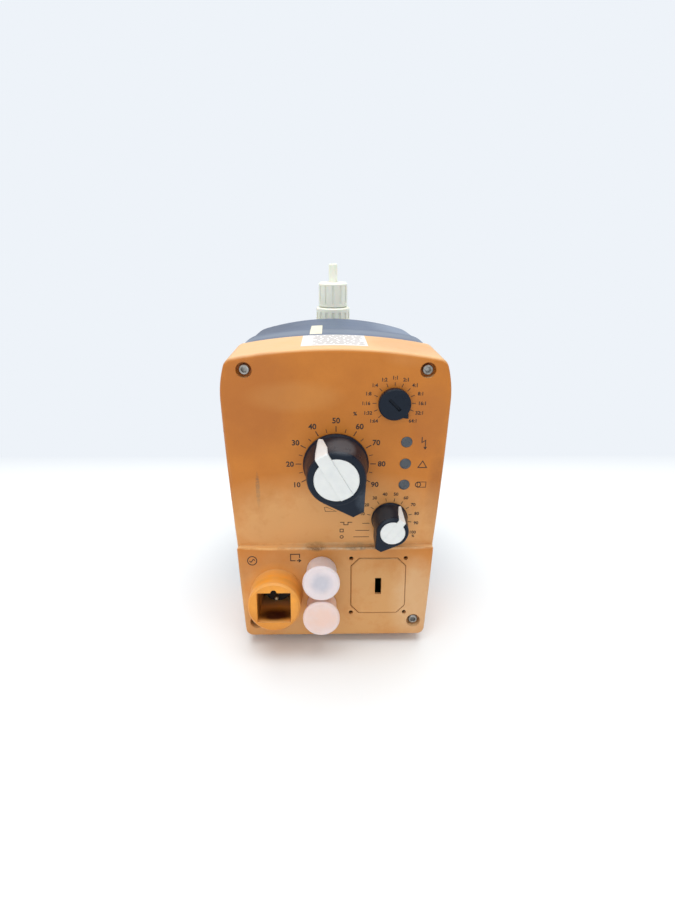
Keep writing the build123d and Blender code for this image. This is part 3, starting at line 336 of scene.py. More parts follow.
def coiled(
    radius: float, wire: float, ends: Point, turns: float, height: float,
    steps: int = 48, around: int = 16,
) -> Mesh:
    """A round wire on a helix about an axis along Y.

    The centre line is at the coil's radius and its Y grows evenly with the turn. Each
    ring of the wire lies in the plane of the line's radius and its binormal.

    Args:
        radius: of the centre line.
        wire: radius of the wire.
        ends: Y of the centre line's first and last point.
        turns: number of turns.
        height: Z of the axis.
        steps: rings of the wire in one turn.
        around: points of one ring.

    Returns:
        Vertices in millimetres and faces.
    """
    turn = np.linspace(0, 2 * math.pi * turns, int(steps * turns))
    outward = np.stack([np.cos(turn), np.zeros_like(turn), np.sin(turn)], axis=-1)
    along = np.linspace(*ends, len(turn))
    centre = radius * outward + np.stack([0 * turn, along, height + 0 * turn], axis=-1)
    tangent = np.gradient(centre, axis=0)
    tangent /= np.linalg.norm(tangent, axis=1, keepdims=True)
    binormal = np.cross(tangent, outward)[:, None]
    angle = np.linspace(0, 2 * math.pi, around, endpoint=False)[:, None]
    ring = np.cos(angle) * outward[:, None] + np.sin(angle) * binormal
    points = centre[:, None] + wire * ring
    index = np.arange(points.shape[0] * around).reshape(-1, around)
    ahead = np.roll(index, -1, axis=1)
    quads = np.stack([index[:-1], ahead[:-1], ahead[1:], index[1:]], axis=-1).reshape(-1, 4)
    caps = [index[0, ::-1].tolist(), index[-1].tolist()]
    return points.reshape(-1, 3), [tuple(face) for face in quads.tolist() + caps]


@dataclass(frozen=True)
class Ground:
    """A flat place on the object that print is laid on.

    Attributes:
        origin_mm: its own zero in the frame.
        up: direction of its Y.
        out: direction of its Z, away from the object.
    """

    origin_mm: Place
    up: Place
    out: Place

    def place(self, mesh: Mesh, thickness_mm: float) -> Mesh:
        """Lays a flat mesh on the ground: origin + x right + y up + z thickness out.

        Args:
            mesh: vertices in millimetres with Z from 0 to 1, and faces.
            thickness_mm: what a Z of 1 becomes.

        Returns:
            The mesh in metres in the frame.
        """
        up, out = np.array(self.up), np.array(self.out)
        right = np.cross(up, out)
        axes = np.stack([right, up, out * thickness_mm])
        return (mesh[0] @ axes + np.array(self.origin_mm)) * MM, mesh[1]


@dataclass(frozen=True)
class Stroke:
    """One printed line of a sign.

    Attributes:
        points_mm: its corners, from the sign's own zero.
        width_mm: its width.
        closed: joins its last corner to its first.
    """

    points_mm: tuple[Point, ...]
    width_mm: float
    closed: bool = False

    def mesh(self, x: float = 0.0, y: float = 0.0) -> Mesh:
        """The line's strip of ink, with the sign's zero at a place."""
        points = [(x + right, y + up) for right, up in self.points_mm]
        return line(points, self.width_mm, self.closed)


# ---- finishes -----------------------------------------------------------------------


@dataclass(frozen=True)
class Stain:
    """A soft-edged patch of colour on a surface, for dirt and wear and for painted light and shade.

    Attributes:
        centre_mm: its middle in the frame.
        reach_mm: how far it reaches along each axis.
        colour: hex digits.
        strength: share of the colour in its middle.
        grain_mm: size of its broken-up edges.
        contrast: how sharply the grain breaks it up, 1 for crumbs of dirt, less for a haze.
    """

    centre_mm: Place
    reach_mm: Place
    colour: str
    strength: float
    grain_mm: float
    contrast: float = 1.0

    # Noise below and above its middle where a grain starts and is full at a contrast of
    # 1, the patch's share between the grains, its gain in them, and the part of its
    # reach over which it fades out.
    GRAIN_BELOW: ClassVar[float] = 0.15
    GRAIN_ABOVE: ClassVar[float] = 0.12
    BETWEEN: ClassVar[float] = 0.25
    GAIN: ClassVar[float] = 1.6
    FADE: ClassVar[float] = 0.55

    def lay(self, tree: Tree, place: Socket, under: Socket) -> Socket:
        """Lays the patch over a colour.

        The share is the spherical fall-off, one less the distance to the centre in
        reaches, times a noise stretched to contrast, times the strength.

        Args:
            tree: node tree of the material.
            place: Object coordinates.
            under: colour under the patch.

        Returns:
            The colour with the patch.
        """
        centre = [v * MM for v in self.centre_mm]
        reach = [v * MM for v in self.reach_mm]
        at = add(
            tree,
            "ShaderNodeMapping",
            {"vector_type": "TEXTURE", "Location": centre, "Scale": reach},
            {"Vector": place},
        )
        ball = add(
            tree,
            "ShaderNodeTexGradient",
            {"gradient_type": "SPHERICAL"},
            {"Vector": at.outputs[0]},
        )
        noise = add(
            tree,
            "ShaderNodeTexNoise",
            {"Scale": per_metre(self.grain_mm), "Detail": 4.0, "Roughness": 0.65},
            {"Vector": place},
        )
        broken = add(
            tree,
            "ShaderNodeMapRange",
            {
                "From Min": 0.5 - self.GRAIN_BELOW / self.contrast,
                "From Max": 0.5 + self.GRAIN_ABOVE / self.contrast,
                "To Min": self.BETWEEN,
                "To Max": self.GAIN * self.strength,
            },
            {"Value": noise.outputs["Fac"]},
        )
        edge = add(
            tree,
            "ShaderNodeMapRange",
            {"From Min": 0.0, "From Max": self.FADE},
            {"Value": ball.outputs["Fac"]},
        )
        share = add(
            tree,
            "ShaderNodeMath",
            {"operation": "MULTIPLY", "use_clamp": True},
            {0: broken.outputs[0], 1: edge.outputs[0]},
        )
        limited = add(
            tree,
            "ShaderNodeMath",
            {"operation": "MINIMUM", 1: self.strength},
            {0: share.outputs[0]},
        )
        return add(
            tree,
            "ShaderNodeMix",
            {"data_type": "RGBA", OVER: linear(self.colour)},
            {SHARE: limited.outputs[0], UNDER: under},
        ).outputs[MIXED]


@dataclass(frozen=True)
class Clouds:
    """The slow changes of a finish's colour.

    Attributes:
        shade: hex colour in the clouds.
        size_mm: their size.
        share: the most of the shade in them.
    """

    shade: str
    size_mm: float
    share: float


@dataclass(frozen=True)
class Grain:
    """The fine relief of a surface.

    Attributes:
        pitch_mm: distance of its marks.
        depth_mm: their depth.
    """

    pitch_mm: float
    depth_mm: float


@dataclass(frozen=True)
class Moulded:
    """A moulded plastic, rubber, ceramic or film with the fine texture of its mould.

    Attributes:
        name: name of the material.
        colour: main hex colour.
        clouds: its faint clouds.
        grain: its mould's texture.
        roughness: gloss, 0 for a mirror.
        ior: refractive index.
        edge_mm: radius that its edges show.
        glow: share of light that passes through the outer millimetres.
        shine: strength of the surface reflection, 0.5 for a clean one.
        stains: patches of dirt and wear, and of painted light and shade.
        dust: hex colour of the dust in the texture's hollows, or nothing.
        faded: hex colour painted on the upward faces as light and sheen from above, or nothing.
        faded_share: share of that colour on a level face.
    """

    name: str
    colour: str
    clouds: Clouds
    grain: Grain
    roughness: float
    ior: float
    edge_mm: float
    glow: float = 0.0
    shine: float = 0.5
    stains: tuple[Stain, ...] = ()
    dust: str = ""
    faded: str = ""
    faded_share: float = 0.85

    GLOW_DEPTH_MM: ClassVar[float] = 1.5
    GLOW_COLOURS: ClassVar[Place] = (1.0, 0.8, 0.6)

    def coloured(self, tree: Tree, place: Socket, cloud: Socket, grain: Socket) -> Socket:
        """Lays clouds, dust, painted top light and patches over the main colour, in this order.

        Args:
            tree: node tree of the material.
            place: Object coordinates.
            cloud: noise of the clouds.
            grain: noise of the mould's texture, high in its hollows.

        Returns:
            The finished colour.
        """
        share = add(
            tree,
            "ShaderNodeMapRange",
            {"From Min": 0.32, "From Max": 0.72, "To Max": self.clouds.share},
            {"Value": cloud},
        )
        plain, shade = linear(self.colour), linear(self.clouds.shade)
        colour = add(
            tree,
            "ShaderNodeMix",
            {"data_type": "RGBA", UNDER: plain, OVER: shade},
            {SHARE: share.outputs[0]},
        ).outputs[MIXED]
        if self.dust:
            hollow = add(
                tree,
                "ShaderNodeMapRange",
                {"From Min": 0.56, "From Max": 0.70, "To Max": 0.30},
                {"Value": grain},
            )
            colour = add(
                tree,
                "ShaderNodeMix",
                {"data_type": "RGBA", OVER: linear(self.dust)},
                {SHARE: hollow.outputs[0], UNDER: colour},
            ).outputs[MIXED]
        # Painted light: upward faces are mixed towards a paler colour for the light and sheen from above.
        if self.faded:
            facing = add(tree, "ShaderNodeNewGeometry").outputs["Normal"]
            upward = add(tree, "ShaderNodeSeparateXYZ", {}, {0: facing})
            upward_share = add(
                tree,
                "ShaderNodeMapRange",
                {"From Min": 0.35, "From Max": 0.95, "To Max": self.faded_share},
                {"Value": upward.outputs["Z"]},
            )
            colour = add(
                tree,
                "ShaderNodeMix",
                {"data_type": "RGBA", OVER: linear(self.faded)},
                {SHARE: upward_share.outputs[0], UNDER: colour},
            ).outputs[MIXED]
        # Patches of dirt and wear, and patches of painted light and shade.
        for overlay in self.stains:
            colour = overlay.lay(tree, place, colour)
        return colour

    @functools.cache
    def material(self) -> bpy.types.Material:
        """Builds the node material the first time, and returns that one from then on."""
        made = bpy.data.materials.new(self.name)
        made.use_nodes = True
        tree = made.node_tree
        shader = tree.nodes["Principled BSDF"]
        place = add(tree, "ShaderNodeTexCoord").outputs["Object"]
        cloud = add(
            tree,
            "ShaderNodeTexNoise",
            {"Scale": per_metre(self.clouds.size_mm), "Detail": 5.0, "Roughness": 0.6},
            {"Vector": place},
        ).outputs["Fac"]
        grain = add(
            tree,
            "ShaderNodeTexNoise",
            {"Scale": per_metre(self.grain.pitch_mm), "Detail": 3.0, "Roughness": 0.55},
            {"Vector": place},
        ).outputs["Fac"]
        gloss = add(
            tree,
            "ShaderNodeMapRange",
            {
                "From Min": 0.3,
                "From Max": 0.7,
                "To Min": self.roughness - 0.05,
                "To Max": self.roughness + 0.07,
            },
            {"Value": cloud},
        )
        edge = add(tree, "ShaderNodeBevel", {"samples": 4, "Radius": self.edge_mm * MM})
        bump = add(
            tree,
            "ShaderNodeBump",
            {"Strength": 0.7, "Distance": self.grain.depth_mm * MM},
            {"Height": grain, "Normal": edge.outputs[0]},
        )
        colour = self.coloured(tree, place, cloud, grain)
        tree.links.new(colour, shader.inputs["Base Color"])
        tree.links.new(gloss.outputs[0], shader.inputs["Roughness"])
        tree.links.new(bump.outputs[0], shader.inputs["Normal"])
        shader.inputs["IOR"].default_value = self.ior
        shader.inputs["Specular IOR Level"].default_value = self.shine
        shader.inputs["Subsurface Weight"].default_value = self.glow
        shader.inputs["Subsurface Radius"].default_value = self.GLOW_COLOURS
        shader.inputs["Subsurface Scale"].default_value = self.GLOW_DEPTH_MM * MM
        return made


@dataclass(frozen=True)
class Metal:
    """A metal surface with fine tool or rolling marks.

    Attributes:
        name: name of the material.
        colour: main hex colour.
        dull: hex colour of its dull patches.
        roughness: gloss of the clean metal.
        marks: its tool or rolling marks.
        stretch: how much longer than wide the marks are along Y.
        patch_mm: size of the dull patches.
        edge_mm: radius that its edges show.
    """

    name: str
    colour: str
    dull: str
    roughness: float
    marks: Grain
    stretch: float = 1.0
    patch_mm: float = 3.0
    edge_mm: float = 0.15

    @functools.cache
    def material(self) -> bpy.types.Material:
        """Builds the node material the first time, and returns that one from then on."""
        made = bpy.data.materials.new(self.name)
        made.use_nodes = True
        tree = made.node_tree
        shader = tree.nodes["Principled BSDF"]
        place = add(tree, "ShaderNodeTexCoord").outputs["Object"]
        along = add(
            tree,
            "ShaderNodeMapping",
            {"Scale": (1.0, 1.0 / self.stretch, 1.0)},
            {"Vector": place},
        )
        marks = add(
            tree,
            "ShaderNodeTexNoise",
            {"Scale": per_metre(self.marks.pitch_mm), "Detail": 4.0},
            {"Vector": along.outputs[0]},
        )
        patches = add(
            tree,
            "ShaderNodeTexNoise",
            {"Scale": per_metre(self.patch_mm), "Detail": 5.0, "Roughness": 0.65},
            {"Vector": place},
        ).outputs["Fac"]
        share = add(
            tree,
            "ShaderNodeMapRange",
            {"From Min": 0.42, "From Max": 0.68},
            {"Value": patches},
        )
        bright, dull = linear(self.colour), linear(self.dull)
        colour = add(
            tree,
            "ShaderNodeMix",
            {"data_type": "RGBA", UNDER: bright, OVER: dull},
            {SHARE: share.outputs[0]},
        ).outputs[MIXED]
        gloss = add(
            tree,
            "ShaderNodeMapRange",
            {
                "From Min": 0.35,
                "From Max": 0.7,
                "To Min": self.roughness,
                "To Max": self.roughness + 0.18,
            },
            {"Value": patches},
        )
        edge = add(tree, "ShaderNodeBevel", {"samples": 4, "Radius": self.edge_mm * MM})
        bump = add(
            tree,
            "ShaderNodeBump",
            {"Strength": 0.5, "Distance": self.marks.depth_mm * MM},
            {"Height": marks.outputs["Fac"], "Normal": edge.outputs[0]},
        )
        tree.links.new(colour, shader.inputs["Base Color"])
        tree.links.new(gloss.outputs[0], shader.inputs["Roughness"])
        tree.links.new(bump.outputs[0], shader.inputs["Normal"])
        shader.inputs["Metallic"].default_value = 1.0
        return made


Finish = Moulded | Metal

# The section with the connectors: painted top light on its upward-tilted face, palest towards its
# right edge; the inlet boss in it is a brighter orange, with painted shadow inside its recess.
SECTION_PAINTED_LIGHT_AND_SHADE = (
    # Painted top light: the whole section paler, as its upward-tilted face catches light from above.
    Stain((0.0, -94.0, 28.0), (90.0, 16.0, 44.0), "D6A46A", 0.80, 9.0, 0.3),
    Stain((-32.0, -99.0, 34.0), (25.0, 14.0, 25.0), "FBA83A", 0.95, 7.0, 0.3),
    # Painted shadow: the two dark patches inside the inlet's recess.
    Stain((-32.0, -98.5, 31.0), (16.0, 7.5, 16.0), "4A1806", 0.95, 12.0, 0.3),
    Stain((-32.0, -101.5, 28.5), (13.0, 5.6, 12.5), "3E1204", 0.97, 12.0, 0.3),
    Stain((44.0, -92.0, 26.0), (16.0, 8.0, 34.0), "DDB78C", 0.50, 5.0, 0.5),
)
# The ledge between panel and section: a painted highlight on its upward face at left and right,
# grey-beige dirt in the middle and three crumbs of grey grime.
LEDGE_HIGHLIGHT_AND_GRIME = (
    # Painted highlight: light from above on the ledge's upward face, at left and right.
    Stain((-30.0, -86.0, 57.4), (26.0, 5.0, 1.8), "F0B873", 0.90, 5.0),
    Stain((34.0, -86.0, 57.4), (24.0, 5.0, 1.8), "D8AC7C", 0.80, 5.0),
    Stain((0.0, -86.0, 57.5), (32.0, 5.0, 2.0), "CDBB9C", 0.80, 3.0),
    Stain((-10.5, -85.4, 57.4), (6.5, 4.5, 2.8), "5F3E22", 0.90, 1.6),
    Stain((11.0, -85.4, 57.3), (8.0, 4.5, 2.4), "645F52", 0.80, 1.8),
    Stain((22.0, -86.0, 57.2), (7.0, 4.0, 1.4), "4E4438", 0.75, 1.5),
)
# The panel: a dark upright streak and a smear at the left, browned right edge, a pale lower band,
# a browned upper left corner with a lighter streak, and a patch on the top's right, darker than
# the painted top light around it.
PANEL_MARKS = (
    Stain((-39.9, -84.0, 90.4), (1.3, 3.0, 11.0), "6B5440", 0.60, 1.2),
    Stain((-36.0, -84.0, 76.0), (12.0, 3.0, 22.0), "A8702F", 0.25, 5.0),
    Stain((52.0, -84.0, 84.0), (6.0, 3.0, 34.0), "9C5A22", 0.45, 4.0, 0.5),
    Stain((46.0, -84.0, 128.0), (12.0, 3.0, 22.0), "A9622A", 0.40, 5.0, 0.5),
    Stain((0.0, -84.0, 66.0), (90.0, 3.5, 36.0), "E3AE72", 0.64, 7.0, 0.3),
    Stain((-40.0, -84.0, 140.0), (26.0, 3.0, 34.0), "AE6426", 0.55, 6.0, 0.4),
    Stain((-20.0, -84.0, 140.0), (26.0, 3.0, 9.0), "CB8C48", 0.35, 6.0, 0.4),
    # A patch darker than the painted top light of the upward faces around it.
    Stain((34.0, -62.0, 160.0), (26.0, 26.0, 12.0), "D59A60", 0.60, 6.0, 0.4),
)
# The top of the drum: painted top light on the belt, painted shadow on the step behind it, a painted
# highlight on the right shoulder and painted shade on the left one.
DRUM_PAINTED_LIGHT = (
    Stain((0.0, -35.0, 158.0), (90.0, 11.0, 14.0), "747E8C", 0.60, 8.0, 0.3),
    Stain((0.0, -23.0, 160.0), (90.0, 4.0, 16.0), "273143", 0.55, 8.0, 0.3),
    # Painted highlight: the bright reflection on the drum's right shoulder.
    Stain((46.0, 4.0, 150.0), (30.0, 44.0, 22.0), "8796AB", 0.45, 8.0, 0.25),
    Stain((-42.0, 4.0, 152.0), (38.0, 46.0, 20.0), "2C3850", 0.70, 8.0, 0.25),
)
# Grey patches: scuffs with a painted highlight on the stroke knob's and the function knob's crowns,
# and scuffs on the stroke knob's face.
KNOB_SCUFFS_AND_HIGHLIGHTS = (
    Stain((4.0, -96.0, 119.5), (11.0, 9.0, 4.0), "8A8E92", 0.30, 0.8),
    Stain((24.0, -94.0, 82.0), (6.0, 8.0, 5.0), "5C6266", 0.25, 0.9),
    Stain((14.0, -100.0, 94.0), (6.0, 8.0, 8.0), "56606C", 0.35, 1.2),
)
# The lower dust cap has a painted reflection of the orange around it, and the upper one's middle is bluish.
CAP_ORANGE_REFLECTION_AND_TINT = (
    # Painted reflection: orange light from the hood around the lower cap.
    Stain((-7.6, -101.0, 27.0), (16.0, 16.0, 13.0), "F0C3A8", 0.60, 6.0, 0.3),
    Stain((-7.6, -108.0, 47.5), (7.0, 12.0, 7.0), "B3B8C6", 0.60, 5.0, 0.3),
)

# Glass-filled polyphenylene ether, moulded: matt orange, paled in clouds by years of use;
# its upward faces carry a painted top light.
HOOD = Moulded(
    "ppe_gf_orange", "CA7B28", Clouds("BA6D22", 16.0, 0.7), Grain(0.7, 0.035),
    roughness=0.42, ior=1.5, edge_mm=0.5, shine=0.35, dust="B0702C", faded="E9C08A",
    stains=SECTION_PAINTED_LIGHT_AND_SHADE + LEDGE_HIGHLIGHT_AND_GRIME + PANEL_MARKS,
)
# The same resin dyed slate blue: matt, dulled by dust in its grain; painted light and shade on the drum.
HOUSING = Moulded(
    "ppe_gf_slate_blue", "46556E", Clouds("5A6981", 18.0, 0.6), Grain(0.7, 0.03),
    roughness=0.45, ior=1.5, edge_mm=0.5, dust="7F8B9D", stains=DRUM_PAINTED_LIGHT,
)
# Moulded acetal: smooth, nearly black with a blue cast, scuffed grey and painted with a highlight
# on the raised faces.
KNOB = Moulded(
    "acetal_black", "141D2A", Clouds("1B2533", 6.0, 0.6), Grain(0.5, 0.012),
    roughness=0.30, ior=1.48, edge_mm=0.6, shine=0.18, stains=KNOB_SCUFFS_AND_HIGHLIGHTS,
)
# White acetal pointer caps: satin, slightly waxy.
KNOB_CAP = Moulded(
    "acetal_white", "E8EAE8", Clouds("D6DADA", 5.0, 0.5), Grain(0.5, 0.012),
    roughness=0.42, ior=1.48, edge_mm=0.4, glow=0.10,
)
# Low-density polyethylene dust caps: milky and waxy; the lower one has a painted orange reflection.
DUST_CAP = Moulded(
    "ldpe_milky", "E8DEE0", Clouds("DCCDCE", 5.0, 0.5), Grain(0.8, 0.02),
    roughness=0.42, ior=1.51, edge_mm=0.4, glow=0.5, stains=CAP_ORANGE_REFLECTION_AND_TINT,
)
# Moulded polyamide of inserts and bobbin: black with a brown cast, half matt.
INSERT = Moulded(
    "pa66_black", "1B1916", Clouds("26221D", 4.0, 0.5), Grain(0.5, 0.015),
    roughness=0.50, ior=1.53, edge_mm=0.25,
)
# Smoked polycarbonate lenses: glossy, and grey while the lamps are off.
LENS = Moulded(
    "polycarbonate_smoke", "3A424A", Clouds("464D55", 3.0, 0.4), Grain(0.9, 0.006),
    roughness=0.28, ior=1.586, edge_mm=0.3, glow=0.1,
)
# Natural polypropylene of the liquid end: cream-white, light glows through its edges.
LIQUID_END = Moulded(
    "polypropylene_natural", "F5F7EA", Clouds("ECEFDD", 9.0, 0.5), Grain(0.9, 0.02),
    roughness=0.38, ior=1.49, edge_mm=0.5, glow=0.5,
)
# Moulded nitrile rubber: dull black.
SEAL = Moulded(
    "nitrile_rubber", "1F1F20", Clouds("2A2A2B", 3.0, 0.4), Grain(0.4, 0.015),
    roughness=0.62, ior=1.52, edge_mm=0.2,
)
# Rubber with a skived PTFE face: smooth, chalky white.
DIAPHRAGM = Moulded(
    "ptfe_faced_epdm", "D8D8D4", Clouds("C9C9C4", 4.0, 0.4), Grain(0.5, 0.01),
    roughness=0.48, ior=1.38, edge_mm=0.2,
)
# Laminated glass and epoxy under green solder mask: glossy, with a faint weave.
BOARD = Moulded(
    "glass_epoxy_board", "2F6B42", Clouds("27583A", 5.0, 0.6), Grain(0.35, 0.008),
    roughness=0.34, ior=1.55, edge_mm=0.1,
)
# Epoxy moulded round electronic parts: dark grey, half matt.
COMPONENT = Moulded(
    "epoxy_moulded_parts", "26282B", Clouds("34373B", 3.0, 0.5), Grain(0.4, 0.01),
    roughness=0.45, ior=1.55, edge_mm=0.15,
)
# Ground and polished alumina balls: ivory with a hard gloss.
BALL = Moulded(
    "alumina_ceramic", "EDEAE0", Clouds("E2DED1", 3.0, 0.3), Grain(1.2, 0.002),
    roughness=0.16, ior=1.77, edge_mm=0.05,
)
# Screen-printed ink: a thin brown-black film, worn thinner in spots.
INK = Moulded(
    "screen_print_ink", "20150D", Clouds("2E1F14", 2.0, 0.6), Grain(0.4, 0.004),
    roughness=0.55, ior=1.5, edge_mm=0.02,
)
# Coated polyester film of the type label: white and half glossy.
PAPER = Moulded(
    "polyester_label_white", "EEE9E6", Clouds("DFD9D5", 6.0, 0.6), Grain(1.5, 0.006),
    roughness=0.35, ior=1.6, edge_mm=0.05,
)
# Aged paper of the date tag: matt and cream.
CREAM = Moulded(
    "paper_label_cream", "E8E2CC", Clouds("D6CEB4", 4.0, 0.6), Grain(0.5, 0.01),
    roughness=0.6, ior=1.5, edge_mm=0.05,
)
# Grey transfer ink of the label: broken up by wear.
GREY_INK = Moulded(
    "label_ink_grey", "9B9796", Clouds("B5B0AE", 1.2, 0.9), Grain(0.4, 0.002),
    roughness=0.5, ior=1.5, edge_mm=0.02,
)

# Turned and tumbled stainless steel: grey, with dull brown patches.
STEEL = Metal("stainless_steel_a2", "A3A29F", "77736B", 0.30, Grain(0.4, 0.008))
# Nickel-plated brass contacts: bright with a warm cast.
CONTACT = Metal("nickel_plated_brass", "C7BFA6", "A0967E", 0.26, Grain(0.3, 0.005))
# Turned soft iron under a thin zinc layer: cool grey, half dull.
IRON = Metal("soft_iron_zinc_plated", "A9ADB0", "7E8286", 0.36, Grain(0.35, 0.01))
# Enamelled copper wire: red-brown, with fine streaks along the bobbin.
COPPER = Metal("enamelled_copper_wire", "B4622F", "8E4A22", 0.30, Grain(0.5, 0.05), 8.0)
# Sintered bronze bushes: brown-yellow and dull, with fine pores.
BRONZE = Metal("sintered_bronze", "9C7A45", "7B6038", 0.42, Grain(0.25, 0.015))


def piece(
    name: str, mesh: Mesh, finish: Finish, smooth: bool = False
) -> bpy.types.Object:
    """Makes an object at the origin from a mesh in metres, on the pump's fixed body.

    Args:
        name: name of the piece.
        mesh: vertices and faces.
        finish: its finish.
        smooth: shades it smooth.

    Returns:
        The object.
    """
    data = bpy.data.meshes.new(name)
    data.from_pydata(mesh[0].tolist(), [], mesh[1])
    data.validate()
    data.polygons.foreach_set("use_smooth", [smooth] * len(data.polygons))
    data.materials.append(finish.material())
    made = linked(name, data)
    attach(made, "pump")
    LOG.info("piece %s: %d faces", name, len(data.polygons))
    return made


def dress(finish: Finish, *nodes: str) -> None:
    """Gives CAD nodes a finish.

    Args:
        finish: the finish.
        nodes: names of the nodes.
    """
    for name in nodes:
        node = frame["nodes"][name]
        if not node.data.materials:
            node.data.materials.append(finish.material())
        for place in node.material_slots:
            place.material = finish.material()


# ---- sub-assemblies -----------------------------------------------------------------


@dataclass(frozen=True)
class Softbox:
    """A square soft light.

    Attributes:
        name: name of the lamp.
        at_mm: its place.
        side_mm: length of its side.
        power: watts.
    """

    name: str
    at_mm: Place
    side_mm: float
    power: float

    def hang(self, aim_mm: Place) -> None:
        """Hangs the light so that it faces a point.

        Args:
            aim_mm: the point.
        """
        data = bpy.data.lights.new(self.name, "AREA")
        data.energy = self.power
        data.size = self.side_mm * MM
        place = Matrix.Translation([v * MM for v in self.at_mm])
        aim = Matrix.Translation([v * MM for v in aim_mm])
        direction = (aim.translation - place.translation).to_track_quat("-Z", "Y")
        linked(self.name, data).matrix_world = place @ direction.to_matrix().to_4x4()


